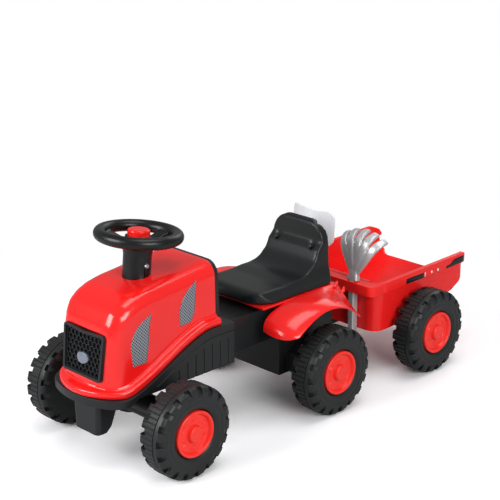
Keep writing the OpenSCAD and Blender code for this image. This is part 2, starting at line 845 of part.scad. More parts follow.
// The red button: a cup, open underneath, pushed up by the spring.
module horn_button() {
    round_r = 4;
    color(RED) placed() on_steering_axis() difference() {
        rotate_extrude() polygon(concat(
            [[0, horn_top - horn_h], [horn_r, horn_top - horn_h]],
            arc(horn_r - round_r, horn_top - round_r, round_r, 0, 90, 5),
            [[0, horn_top]]
        ));
        translate([0, 0, horn_top - horn_h - 1]) cylinder(r = horn_r - wall, h = horn_h + 1 - wall);
    }
}

// A coil spring between the cup's floor and the button's top, as one swept loop.
module horn_spring() {
    coil_r = 9;
    wire_r = 1;
    turns = 4;
    steps = 14;
    sides = 6;
    low = horn_floor + wire_r;
    rise = horn_top - wall - wire_r - low;
    rings = turns * steps;
    points = [for (i = [0:rings], k = [0:sides - 1])
        let (a = 360 * i / steps, b = 360 * k / sides, r = coil_r + wire_r * cos(b))
        [r * cos(a), r * sin(a), low + rise * i / rings + wire_r * sin(b)]];
    walls = [for (i = [0:rings - 1], k = [0:sides - 1])
        [i * sides + k, i * sides + (k + 1) % sides, (i + 1) * sides + (k + 1) % sides, (i + 1) * sides + k]];
    ends = [[for (k = [sides - 1:-1:0]) k], [for (k = [0:sides - 1]) rings * sides + k]];
    color(STEEL) placed() on_steering_axis() polyhedron(points, concat(walls, ends));
}

// The carrier: a round beam, a hub on the rod and a block round the axle.
module axle_carrier() {
    color(BLACK) placed() difference() {
        union() {
            translate([wheelbase, 0, beam_z]) y_rod(beam_r, 2 * carrier_half - 14);
            translate([wheelbase, 0, 0]) y_rod(axle_r + 5, 2 * carrier_half);
            translate([wheelbase - 10, -carrier_half + 7, 0]) cube([20, 2 * carrier_half - 14, beam_z]);
            on_steering_axis() translate([0, 0, rod_low]) cylinder(r = 18, h = boss_low - 2 - slide_fit - rod_low);
        }
        translate([wheelbase, 0, 0]) y_rod(axle_r + shaft_fit, 2 * carrier_half + 2);
        on_steering_axis() translate([0, 0, rod_low - 1]) cylinder(r = rod_r + shaft_fit, h = 100);
    }
}

module front_axle() color(STEEL) placed() translate([wheelbase, 0, 0]) difference() {
    axle(track);
    translate([-wheelbase, 0, 0]) on_steering_axis() translate([0, 0, rod_low - 1]) cylinder(r = rod_r + 0.2, h = 40);
}

module front_axle_caps() color(STEEL) placed() translate([wheelbase, 0, 0]) axle_caps(track);

// ---------- trailer ----------

tub_half = tub_w / 2;
tub_corner_r = 25;
rim_band = 20;
floor_bend = tub_front - 45;
sill_half = 74;

// Height of the tub's rim at x.
function rim_z(x) = rim_front + rim_rise * (tub_front - x) / tub_l;

// The tub's rounded plan, grown all round.
module tub_plan(grow) {
    r = tub_corner_r + grow;
    for (x = [tub_rear + tub_corner_r, tub_front - tub_corner_r], y = [tub_corner_r - tub_half, tub_half - tub_corner_r])
        translate([x, y]) circle(r);
    translate([tub_rear - grow, tub_corner_r - tub_half]) square([tub_l + 2 * grow, tub_w - 2 * tub_corner_r]);
    translate([tub_rear + tub_corner_r, -tub_half - grow]) square([tub_l - 2 * tub_corner_r, tub_w + 2 * grow]);
}

// The floor line from the front back to the tail, moved up by lift.
function floor_line(lift) = [
    [tub_front + rim_lip, tub_low + lift], [floor_bend, tub_low + lift],
    [floor_bend - 80, tub_low + 8 + lift],
    [tub_rear + 45, sill_h - 19 + lift], [tub_rear + 20, sill_h - 6 + lift], [tub_rear - rim_lip, sill_h + 10 + lift]
];

// The tub seen from the side: its floor rises to the tail, and its rear top corner is round.
module tub_side() {
    corner_r = 28;
    polygon(concat(
        floor_line(0),
        arc(tub_rear - rim_lip + corner_r, rim_z(tub_rear) - corner_r, corner_r, 180, 92, 6),
        [[tub_front, rim_front], [tub_front + rim_lip, rim_front]]
    ));
}

module tub_shell() {
    difference() {
        intersection() {
            linear_extrude(2 * rim_front) tub_plan(0);
            along_y(2 * tub_w) tub_side();
        }
        intersection() {
            linear_extrude(2 * rim_front) tub_plan(-wall);
            along_y(2 * tub_w) polygon(concat(
                floor_line(wall), [[tub_rear - rim_lip, 3 * rim_front], [tub_front + rim_lip, 3 * rim_front]]
            ));
        }
    }
}

// The rim: a band round the top, and a deep shelf in front that holds the tools.
module tub_rim() {
    intersection() {
        difference() {
            linear_extrude(2 * rim_front) tub_plan(rim_lip);
            translate([0, 0, -1]) linear_extrude(2 * rim_front + 2) tub_plan(-wall);
        }
        along_y(2 * tub_w) tub_side();
        along_y(2 * tub_w) polygon([
            [tub_front + rim_lip, rim_front - rim_band], [tub_rear - rim_lip, rim_front + rim_rise - rim_band],
            [tub_rear - rim_lip, 2 * rim_front], [tub_front + rim_lip, 2 * rim_front]
        ]);
    }
    tub_shelf();
}

// The shelf stands out in front and reaches a little way inside. It is open underneath.
module tub_shelf() {
    corner_r = 14;
    inner_l = 10;
    low = rim_front - rim_band;
    difference() {
        translate([0, 0, low]) linear_extrude(rim_band) {
            translate([tub_front - corner_r, -tub_half - rim_lip])
                square([shelf_l, tub_w + 2 * rim_lip]);
            translate([tub_front, corner_r - tub_half - rim_lip])
                square([shelf_l, tub_w + 2 * (rim_lip - corner_r)]);
            for (y = [corner_r - tub_half - rim_lip, tub_half + rim_lip - corner_r])
                translate([tub_front + shelf_l - corner_r, y]) circle(corner_r);
        }
        translate([0, 0, low - 1]) linear_extrude(rim_band + 2) tub_plan(-wall);
        translate([tub_front, wall - tub_half, low - 1])
            cube([shelf_l - wall, tub_w - 2 * wall, rim_band + 1 - wall]);
    }
    translate([tub_front - wall - inner_l, tub_corner_r - tub_half, rim_front - wall])
        cube([inner_l + 1, tub_w - 2 * tub_corner_r, wall]);
}

// The tail opening: a sill between two sides that sweep up to the rim.
module tail_cut() {
    sweep = 30;
    top = 2 * rim_front;
    translate([tub_rear - rim_lip - 1, 0, 0]) along_x(rim_lip + 30) polygon(concat(
        [[-sill_half, sill_h], [sill_half, sill_h]],
        arc(sill_half, sill_h + sweep, sweep, 275, 360, 6),
        [[sill_half + sweep + 4, top], [-sill_half - sweep - 4, top]],
        arc(-sill_half, sill_h + sweep, sweep, 180, 265, 6)
    ));
}

tool_x = tub_front + slide_fit + handle_l / 2 + 1;
rake_y = 68;
shovel_y = -52;
tool_low = -25;
bar_low = hitch_z - eye_t / 2;
block_half = 20;
// Each screw's place, and the height of the face that its head meets.
tub_screw_spots = [[tub_front - 30, 0, bar_low], [trailer_axle_x + 15.5, 72, 0], [trailer_axle_x + 15.5, -72, 0]];

module tub() {
    slot = 2 * slide_fit;
    color(RED) placed() difference() {
        union() {
            tub_shell();
            tub_rim();
        }
        tail_cut();
        for (y = [rake_y, shovel_y])
            translate([tool_x - (handle_l + slot) / 2, y - (handle_w + slot) / 2, rim_front - rim_band - 1])
                cube([handle_l + slot, handle_w + slot, rim_band + 2]);
        for (spot = tub_screw_spots) translate([spot[0], spot[1], 0]) cylinder(r = screw_r, h = 2 * tub_low + wall + 6);
    }
}

// The trailer's frame: the bar with its hitch eye, and the beam round the axle.
module drawbar() {
    bar_half = 12;
    color(BLACK) placed() difference() {
        union() {
            translate([hitch_x, 0, bar_low]) cylinder(r = eye_r, h = eye_t);
            translate([tub_front, -bar_half, bar_low]) cube([hitch_x - tub_front, 2 * bar_half, eye_t]);
            translate([trailer_axle_x, 0, 0]) y_rod(axle_r + 6, trailer_track - 2 * wheel_w - 2 * slide_fit);
            // Both carry the tub's sloping floor.
            intersection() {
                union() {
                    translate([trailer_axle_x, -bar_half, bar_low])
                        cube([tub_front - trailer_axle_x, 2 * bar_half, sill_h]);
                    translate([trailer_axle_x - block_half, 8 - tub_half, 0])
                        cube([2 * block_half, tub_w - 16, sill_h]);
                }
                along_y(tub_w) polygon(concat(
                    floor_line(0), [[tub_rear - rim_lip, -wheel_r], [tub_front + rim_lip, -wheel_r]]
                ));
            }
        }
        translate([hitch_x, 0, 0]) cylinder(r = pin_r + slide_fit, h = 50, center = true);
        translate([trailer_axle_x, 0, 0]) y_rod(axle_r + shaft_fit, trailer_track);
        for (spot = tub_screw_spots) translate([spot[0], spot[1], spot[2] - 1]) cylinder(r = screw_r, h = sill_h);
    }
}

// Screws up through the frame into the tub's floor.
module tub_screws() {
    color(STEEL) placed() for (spot = tub_screw_spots) translate([spot[0], spot[1], spot[2]]) {
        translate([0, 0, -2.5]) cylinder(r = screw_head_r, h = 2.5);
        cylinder(r = screw_r, h = tub_low + wall - 1 - spot[2]);
    }
}

module trailer_axle() color(STEEL) placed() translate([trailer_axle_x, 0, 0]) axle(trailer_track);
module trailer_axle_caps() color(STEEL) placed() translate([trailer_axle_x, 0, 0]) axle_caps(trailer_track);

// A tool's handle, with shoulders that rest on the trailer's shelf.
module handle(y, neck_h) {
    translate([tool_x - handle_l / 2, y - handle_w / 2, tool_low]) cube([handle_l, handle_w, rim_front - tool_low]);
    translate([tool_x - handle_l / 2, y, rim_front]) along_x(handle_l)
        polygon([[-handle_w, 0], [handle_w, 0], [handle_w * 0.7, neck_h], [-handle_w * 0.7, neck_h]]);
}

tool_t = 9;

// The rake: five fingers in a fan, joined low down, with their tips bent back.
module rake() {
    root_z = rim_front + 4;
    finger_l = 74;
    finger_w = 14;
    spread = 17;
    color(GREY) placed() {
        handle(rake_y, 16);
        translate([tool_x, rake_y, root_z]) rotate([0, -9, 0]) {
            translate([-tool_t / 2, 0, 0]) along_x(tool_t) {
                polygon([[-8, 0], [8, 0], [35, 48], [-35, 48]]);
                for (i = [-2:2]) rotate(-spread * i) translate([-finger_w / 2, 10]) square([finger_w, finger_l - 10]);
            }
            for (i = [-2:2]) rotate([-spread * i, 0, 0]) translate([0, 0, finger_l - 1]) rotate([0, -38, 0])
                translate([1 - tool_t / 2, 0, 0]) along_x(tool_t - 2) {
                    translate([1 - finger_w / 2, -4]) square([finger_w - 2, 18]);
                    translate([0, 14]) circle(finger_w / 2 - 1);
                }
        }
    }
}

// The shovel: a curved blade on a tapering neck.
module shovel() {
    blade_r = 80;
    blade_half = 55;
    blade_h = 120;
    blade_top = rim_front + blade_h;
    color(PALE) placed() {
        handle(shovel_y, 42);
        translate([tool_x, shovel_y, rim_front]) rotate([0, -4, 0]) intersection() {
            translate([handle_l / 2 - blade_r, 0, 0]) difference() {
                cylinder(r = blade_r, h = blade_top - rim_front);
                translate([0, 0, -1]) cylinder(r = blade_r - wall, h = blade_top - rim_front + 2);
            }
            translate([-40, 0, 0]) along_x(60) polygon(concat(
                [[-9, 20], [9, 20], [blade_half - 6, 62]],
                arc(blade_half - 22, blade_top - rim_front - 22, 22, 0, 90, 5),
                arc(22 - blade_half, blade_top - rim_front - 22, 22, 90, 180, 5),
                [[6 - blade_half, 62]]
            ));
        }
    }
}

// ---------- the parts to draw ----------

chassis();
hood();
grille();
badge();
dashboard();
seat();
fenders();
rear_axle();
rear_axle_caps();
steering_bush();
hitch_pin();
body_screws();
steering_wheel();
steering_column();
column_screw();
steering_rod();
horn_button();
horn_spring();
axle_carrier();
front_axle();
front_axle_caps();
tub();
drawbar();
trailer_axle();
trailer_axle_caps();
tub_screws();
rake();
shovel();
for (w = WHEELS) {
    color(BLACK) at_wheel(w) tyre();
    color(RED) at_wheel(w) disc();
    color(RED) at_wheel(w) hub_cap();
}
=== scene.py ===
import json
import math

import bmesh
import bpy
from mathutils import Matrix, Vector
from mathutils.bvhtree import BVHTree


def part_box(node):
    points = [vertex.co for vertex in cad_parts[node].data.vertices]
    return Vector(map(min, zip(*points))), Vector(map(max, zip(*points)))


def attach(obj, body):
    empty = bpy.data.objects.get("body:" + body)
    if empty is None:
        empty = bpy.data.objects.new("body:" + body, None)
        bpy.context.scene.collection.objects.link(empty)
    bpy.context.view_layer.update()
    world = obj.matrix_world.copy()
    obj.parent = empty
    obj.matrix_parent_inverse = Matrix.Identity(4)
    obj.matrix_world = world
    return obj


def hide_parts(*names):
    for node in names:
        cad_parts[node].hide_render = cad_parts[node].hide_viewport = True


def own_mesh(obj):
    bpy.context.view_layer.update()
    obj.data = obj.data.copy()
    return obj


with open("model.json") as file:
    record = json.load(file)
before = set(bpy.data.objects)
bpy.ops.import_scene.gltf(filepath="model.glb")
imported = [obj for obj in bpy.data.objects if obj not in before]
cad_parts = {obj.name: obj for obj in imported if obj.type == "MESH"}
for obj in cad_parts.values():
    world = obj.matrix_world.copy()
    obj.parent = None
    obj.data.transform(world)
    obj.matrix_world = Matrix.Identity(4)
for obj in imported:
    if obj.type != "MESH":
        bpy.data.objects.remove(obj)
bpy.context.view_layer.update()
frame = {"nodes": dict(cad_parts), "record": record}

# A ride-on toy tractor with its trailer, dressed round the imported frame. Named lengths are in millimetres,
# and MM or at() turns them into the frame's metres.
MM = 0.001
nodes = frame["nodes"]
scene = bpy.context.scene


# ---------- colours and materials ----------

def linear(hex_colour):
    """An sRGB hex value as linear red, green, blue and alpha."""
    parts = [int(hex_colour[i:i + 2], 16) / 255 for i in (1, 3, 5)]
    return [v / 12.92 if v <= 0.04045 else ((v + 0.055) / 1.055) ** 2.4 for v in parts] + [1.0]


def add_node(tree, kind, settings=None, **links):
    """Adds a node. Settings go on the node or on its unlinked sockets, by name or number. Links go on the
    socket of that name, or by number as n0, n1 and so on."""
    node = tree.nodes.new(kind)
    for key, value in (settings or {}).items():
        if isinstance(key, str) and hasattr(node, key):
            setattr(node, key, value)
        else:
            node.inputs[key].default_value = value
    for name, source in links.items():
        numbered = name[0] == "n" and name[1:].isdigit()
        tree.links.new(source, node.inputs[int(name[1:]) if numbered else name])
    return node


def blend(tree, share, first, second):
    """The first colour where the share is 0, the second where it is 1."""
    mix = add_node(tree, "ShaderNodeMix", {"data_type": "RGBA", 6: first, 7: second}, n0=share)
    return mix.outputs[2]


def new_material(name):
    """A material, with its tree, its shader and the object's own coordinates."""
    mat = bpy.data.materials.new(name)
    mat.use_nodes = True
    tree = mat.node_tree
    place = add_node(tree, "ShaderNodeTexCoord").outputs["Object"]
    return mat, tree, tree.nodes["Principled BSDF"], place


PLASTIC_IOR = 1.5
TONE_DRIFT = 7.0  # slow changes of tone to a metre
SHEEN_DRIFT = 0.03  # how far the roughness strays either way
GRAIN_STRENGTH = 0.3


def moulded_plastic(name, colour, dark, roughness, grain_mm, grain_depth, specular=0.35, metallic=0.0,
                    pattern=None):
    """Injection or blow moulded plastic: a body colour that drifts slowly to its dark tone, a grain that
    softens the gloss, one grain grain_mm wide, and a faint unevenness in the reflections. A pattern lays
    out the two colours in the drift's place."""
    mat, tree, shader, place = new_material(name)
    drift = add_node(tree, "ShaderNodeTexNoise", {"Scale": TONE_DRIFT, "Detail": 1.0, "Roughness": 0.4},
                     Vector=place).outputs["Fac"]
    share = pattern(tree, place) if pattern else drift
    tree.links.new(blend(tree, share, linear(colour), linear(dark)), shader.inputs["Base Color"])
    sheen = add_node(tree, "ShaderNodeMapRange",
                     {"To Min": roughness - SHEEN_DRIFT, "To Max": roughness + SHEEN_DRIFT}, Value=drift)
    tree.links.new(sheen.outputs["Result"], shader.inputs["Roughness"])
    grain = add_node(tree, "ShaderNodeTexNoise",
                     {"Scale": 1 / (grain_mm * MM), "Detail": 2.0, "Roughness": 0.6}, Vector=place)
    bump = add_node(tree, "ShaderNodeBump", {"Strength": GRAIN_STRENGTH, "Distance": grain_depth * MM},
                    Height=grain.outputs["Fac"])
    tree.links.new(bump.outputs["Normal"], shader.inputs["Normal"])
    for socket, value in (("IOR", PLASTIC_IOR), ("Specular IOR Level", specular), ("Metallic", metallic)):
        shader.inputs[socket].default_value = value
    return mat


VENT_PITCH = 4.0
VENT_HOLE = (0.34, 0.44)  # the soft edge of a hole, in pitches from its middle


def vent_holes(tree, place):
    """Slanted rows of holes like a perforated vent: 0 inside a hole and 1 between them."""
    rows = add_node(tree, "ShaderNodeMapping",
                    {"Rotation": (0.0, math.radians(45), 0.0), "Scale": (1.0, 0.0, 1.0)}, Vector=place)
    cells = add_node(tree, "ShaderNodeTexVoronoi", {"Scale": 1 / (VENT_PITCH * MM), "Randomness": 0.0},
                     Vector=rows.outputs["Vector"])
    edge = add_node(tree, "ShaderNodeMapRange", {"From Min": VENT_HOLE[0], "From Max": VENT_HOLE[1]},
                    Value=cells.outputs["Distance"])
    return edge.outputs["Result"]


DRAWN_LINES = (900.0, 60.0, 900.0)  # lines to a metre, fewer along the axles


def plated_steel(name):
    """Zinc-plated steel: a grey metal with fine drawn lines along it and a slight blue cast."""
    mat, tree, shader, place = new_material(name)
    stretch = add_node(tree, "ShaderNodeMapping", {"Scale": DRAWN_LINES}, Vector=place)
    lines = add_node(tree, "ShaderNodeTexNoise", {"Scale": 1.0, "Detail": 2.0},
                     Vector=stretch.outputs["Vector"]).outputs["Fac"]
    tree.links.new(blend(tree, lines, linear("#a9adb3"), linear("#c9ccd1")), shader.inputs["Base Color"])
    rough = add_node(tree, "ShaderNodeMapRange", {"To Min": 0.24, "To Max": 0.42}, Value=lines)
    tree.links.new(rough.outputs["Result"], shader.inputs["Roughness"])
    shader.inputs["Metallic"].default_value = 1.0
    return mat


# Polyethylene and polypropylene as such toys are moulded from: waxy, softly glossy, even in colour.
RED = moulded_plastic("red_polyethylene", "#ee1b18", "#e61715", 0.19, 1.1, 0.002, 0.6)
TUB_RED = moulded_plastic("red_polyethylene_tub", "#f4211f", "#ee1e1d", 0.27, 1.1, 0.003)
DISC_RED = moulded_plastic("red_polypropylene_disc", "#f6342a", "#ee2e25", 0.27, 1.0, 0.003)
BUTTON_RED = moulded_plastic("red_abs_button", "#ea2019", "#e01b16", 0.16, 1.0, 0.002)
CHASSIS_BLACK = moulded_plastic("black_polypropylene_chassis", "#1d1f20", "#18191a", 0.40, 1.2, 0.012)
GRILLE_BLACK = moulded_plastic("black_polypropylene_grille", "#1c1e20", "#161819", 0.36, 1.2, 0.008)
SEAT_BLACK = moulded_plastic("black_grained_seat", "#191b1c", "#141617", 0.34, 1.2, 0.015)
WHEEL_BLACK = moulded_plastic("black_polypropylene_wheel", "#0e0f10", "#0b0c0d", 0.32, 1.2, 0.008)
TYRE_BLACK = moulded_plastic("black_polyethylene_tyre", "#202223", "#1a1c1c", 0.42, 1.2, 0.012)
RAKE_GREY = moulded_plastic("silver_pigmented_rake", "#c6c6c8", "#bcbcbe", 0.32, 1.2, 0.004, 0.5, 0.45)
SHOVEL_GREY = moulded_plastic("silver_pigmented_shovel", "#e6e8ec", "#dddfe3", 0.34, 1.2, 0.004, 0.5, 0.1)
BUSH_WHITE = moulded_plastic("white_nylon_bush", "#dfe1e0", "#d5d7d6", 0.4, 1.2, 0.004)
BADGE_SILVER = moulded_plastic("silver_lacquered_badge", "#858c9a", "#7b8290", 0.22, 1.0, 0.002, 0.5, 0.4)
BAND_BLACK = moulded_plastic("black_printed_film", "#101113", "#0c0d0f", 0.3, 1.0, 0.001)
TICK_WHITE = moulded_plastic("white_printed_film", "#f4f4f4", "#ececec", 0.3, 1.0, 0.001)
VENT_FILM = moulded_plastic("vent_printed_film", "#1f2227", "#969ba4", 0.32, 1.0, 0.001, pattern=vent_holes)
STEEL = plated_steel("zinc_plated_steel")

FINISHES = {
    "chassis_black": CHASSIS_BLACK, "body_red": RED, "grille_black": GRILLE_BLACK, "badge_silver": BADGE_SILVER,
    "seat_black": SEAT_BLACK, "steel": STEEL, "bush_white": BUSH_WHITE, "wheel_black": WHEEL_BLACK,
    "button_red": BUTTON_RED, "tub_red": TUB_RED, "rake_grey": RAKE_GREY, "shovel_pale": SHOVEL_GREY,
    "tyre_black": TYRE_BLACK, "disc_red": DISC_RED,
}
slot_of = {part["node"]: part["material_slot"] for part in frame["record"]["subparts"]}
for name, obj in nodes.items():
    obj.data.materials.clear()
    obj.data.materials.append(FINISHES[slot_of[name]])


# ---------- making pieces ----------

low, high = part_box("rear_axle")
REAR_AXLE = (low + high) / 2
body_of = {node: body for body, members in frame["record"]["behaviour"]["bodies"].items() for node in members}


def at(x, y, z):
    """A place given in millimetres from the middle of the rear axle."""
    return Vector((x, y, z)) * MM + Vector((REAR_AXLE.x, 0, REAR_AXLE.z))


def new_piece(name, bm, node, modifiers=(), finish=None, replaces=True):
    """Makes an object of the mesh. It rides with the node, takes its finish and stands in its place."""
    mesh = bpy.data.meshes.new(name)
    bmesh.ops.recalc_face_normals(bm, faces=bm.faces)
    bm.to_mesh(mesh)
    bm.free()
    mesh.shade_smooth()
    obj = bpy.data.objects.new(name, mesh)
    scene.collection.objects.link(obj)
    mesh.materials.append(finish or FINISHES[slot_of[node]])
    for kind, settings in modifiers:
        mod = obj.modifiers.new(kind.lower(), kind)
        for key, value in settings.items():
            setattr(mod, key, value)
    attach(obj, body_of[node])
    if replaces:
        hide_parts(node)
    return obj


def rounded(width, angle):
    """A rounded edge wherever two faces meet more sharply than the angle."""
    return ("BEVEL", {"width": width * MM, "segments": 2, "limit_method": "ANGLE",
                      "angle_limit": math.radians(angle), "use_clamp_overlap": False})


EVEN_SHADING = ("WEIGHTED_NORMAL", {"keep_sharp": True, "weight": 50})


def melted(voxel, rounds):
    """Joins the shells of a piece into one moulding and softens its corners."""
    return [("REMESH", {"mode": "VOXEL", "voxel_size": voxel * MM, "use_smooth_shade": True}),
            ("SMOOTH", {"factor": 0.5, "iterations": rounds})]


DOUBLED = 0.02
SEAM = 0.01
FLAT = math.radians(0.08)


def merged(node):
    """The node's mesh with its triangles joined and its flat faces dissolved."""
    bm = bmesh.new()
    bm.from_mesh(nodes[node].data)
    bmesh.ops.remove_doubles(bm, verts=bm.verts, dist=DOUBLED * MM)
    bmesh.ops.dissolve_limit(bm, angle_limit=FLAT, verts=bm.verts, edges=bm.edges)
    return bm


def surface(bm, rows, cols, place):
    """A grid with each point set by place(u, v), u and v from 0 to 1. Doubled points merge and close seams."""
    made = bmesh.ops.create_grid(bm, x_segments=rows, y_segments=cols, size=1)["verts"]
    for v in made:
        v.co = place((v.co.x + 1) / 2, (v.co.y + 1) / 2)
    bmesh.ops.remove_doubles(bm, verts=made, dist=SEAM * MM)


def thicken(bm, faces, wall):
    """Gives a skin its wall."""
    bmesh.ops.recalc_face_normals(bm, faces=faces)
    bmesh.ops.solidify(bm, geom=faces, thickness=wall * MM)


def along(points, t):
    """A smooth curve through the points, t from 0 to 1."""
    span = t * (len(points) - 1)
    i = min(int(span), len(points) - 2)
    f = span - i
    p = [Vector(points[max(0, min(len(points) - 1, i + k))]) for k in (-1, 0, 1, 2)]
    return 0.5 * (2 * p[1] + (p[2] - p[0]) * f + (2 * p[0] - 5 * p[1] + 4 * p[2] - p[3]) * f * f
                  + (3 * p[1] - p[0] - 3 * p[2] + p[3]) * f ** 3)


BAR_END = 0.04  # the share of a bar's rows that closes each end
LOOK_AHEAD = 0.02


def bar(bm, path, sizes, rows=24, corner=0.5, across=Vector((0, 1, 0))):
    """A closed bar along a path. sizes gives, on the way, its half width along `across` and its half
    thickness in millimetres. A low corner makes it squarer."""
    halves = [(side, thick, 0) for side, thick in sizes]

    def place(u, v):
        t = min(1, max(0, (u - BAR_END) / (1 - 2 * BAR_END)))
        middle = along(path, t)
        ahead = (along(path, min(1, t + LOOK_AHEAD)) - along(path, max(0, t - LOOK_AHEAD))).normalized()
        thick = ahead.cross(across).normalized()
        side = thick.cross(ahead).normalized()
        half = along(halves, t) * MM
        close = math.sqrt(max(0.0, 1 - abs((u - 0.5) / 0.5) ** 24))
        a = v * 2 * math.pi
        c, s = math.cos(a), math.sin(a)
        return middle + close * (side * half[0] * math.copysign(abs(c) ** corner, c)
                                 + thick * half[1] * math.copysign(abs(s) ** corner, s))
    surface(bm, rows, 16, place)


def spin_round(bm, profile, steps):
    """Spins a closed profile of (radius, height) points about the z axis."""
    rim = [bm.verts.new((r * MM, 0, h * MM)) for r, h in profile]
    edges = [bm.edges.new((a, b)) for a, b in zip(rim, rim[1:] + rim[:1])]
    bmesh.ops.spin(bm, geom=rim + edges, cent=(0, 0, 0), axis=(0, 0, 1), angle=2 * math.pi, steps=steps,
                   use_merge=True, dvec=(0, 0, 0))


# ---------- camera, settled by the wheels' discs in the photograph ----------

camera = bpy.data.objects.new("camera", bpy.data.cameras.new("camera"))
scene.collection.objects.link(camera)
scene.camera = camera
camera.data.sensor_fit = "AUTO"
camera.data.sensor_width = 36.0
camera.data.lens = 101.85
CAMERA_AZIMUTH = 45.06
CAMERA_ELEVATION = 18.54
camera.location = (1.7301, 1.6890, 1.0808)
camera.rotation_euler = (math.radians(90 - CAMERA_ELEVATION), 0, math.radians(90 + CAMERA_AZIMUTH))
camera.data.clip_end = 50
PHOTO_W = PHOTO_H = 500

# Image points in the photograph. None stands for a coordinate that the point doesn't give.
POINTS = {
    "left_edge": (29.1, None), "right_edge": (466.5, None),
    "shovel_top": (None, 207.4), "lowest_tyre": (None, 482.4),
    "front_left_disc": (196.5, 434.9), "rear_left_disc": (341.3, 373.3), "trailer_left_disc": (438.3, 332.9),
    "steering_wheel_left": (93.0, None), "horn_button": (None, 225.6), "badge": (81.0, 358.2),
    "grille_top_corner": (105.6, 336.5), "column_screw": (146.6, 265.4), "fender_tip": (361.3, 317.8),
    "seat_back_corner": (315.3, 223.0), "shovel_corner": (336.6, 216.1),
    "front_vent": (141.6, 340.9), "rear_vent": (188.3, 305.9),
    "front_band": (415.0, 278.2), "rear_band": (455.5, 263.0),
}


def on_image(place):
    """Where a place shows in the photograph, in pixels."""
    p = camera.matrix_basis.inverted() @ place
    scale = camera.data.lens / camera.data.sensor_width * PHOTO_W
    return PHOTO_W / 2 + scale * p.x / -p.z, PHOTO_H / 2 - scale * p.y / -p.z


def under_point(name, tree):
    """The place on a surface that shows at an image point. Where the ray misses, the nearest place."""
    x, y = POINTS[name]
    data = camera.data
    way = Vector((x - PHOTO_W / 2 + data.shift_x * PHOTO_W, PHOTO_H / 2 - y + data.shift_y * PHOTO_W,
                  -PHOTO_W * data.lens / data.sensor_width))
    way = (camera.matrix_basis.to_3x3() @ way).normalized()
    start = camera.matrix_basis.translation
    hit = tree.ray_cast(start, way)[0]
    return hit or tree.find_nearest(start + way * (at(0, 0, 0) - start).length)[0]


# ---------- wheels ----------

WHEEL_R = 80
WHEEL_W = 52
VALLEY_R = 74
SHOULDER = 14
LUGS = 19
# Columns of faces round the tyre for each lug and its valley, and how many of them the lug takes.
COLUMNS = 12
LUG_COLUMNS = 7
LUG_CORNER = 0.62  # under 1 makes a lug's shoulder squarer than the valley's
LUG_ROOT = VALLEY_R - SHOULDER + 3.7
# The parting groove lies off the middle. Its wide half has fine cross ribs, and its narrow half a smooth band.
WIDE_HALF = 36
RIBBED_BAND = 17
SMOOTH_BAND = 11.5
GROOVE_R = 77
GROOVE_HALF = 0.8
SLOT_EVERY = 4  # columns from one fine slot to the next
SLOT_DEPTH = 1.8
SLOT_EDGE = 0.2
SLOT_INSET = 2.5  # how far in from the tyre's side the slots start
UPRIGHT = 0.75  # a face whose normal leans further along the axle is a lug's side
BORE_R = 5.3
DISC_SEAT = 43.2
# The inner side from the bore as (radius, height), and the outer side's ring and bead as (radius, depth).
INNER_SIDE = [(BORE_R, 0), (20, 0), (40, 0), (42, 0.8), (45, 0.8), (47, 0)]
OUTER_SIDE = [(58.6, 0.7), (56.8, 0.9), (54, 0.3), (50, 0.3), (46, 1.3), (43, 2.8), (41.3, 4.6), (40.6, 6.2)]


def shoulder_arc():
    """Points on the tyre's inner shoulder, from the sidewall to the tread."""
    return [(VALLEY_R - SHOULDER + SHOULDER * math.sin(math.radians(a)),
             SHOULDER - SHOULDER * math.cos(math.radians(a))) for a in range(0, 91, 15)]


def lug_top(radius, height):
    """Where a point of the shoulder goes on top of a lug."""
    side = min(height, WHEEL_W - height)
    if side < SHOULDER - 0.01:
        a = math.atan2(radius - VALLEY_R + SHOULDER, SHOULDER - side)
        radius = VALLEY_R - SHOULDER + (WHEEL_R - VALLEY_R + SHOULDER) * math.sin(a) ** LUG_CORNER
        side = SHOULDER - SHOULDER * math.cos(a) ** LUG_CORNER
        return radius, side if height < WHEEL_W / 2 else WHEEL_W - side
    return WHEEL_R, height


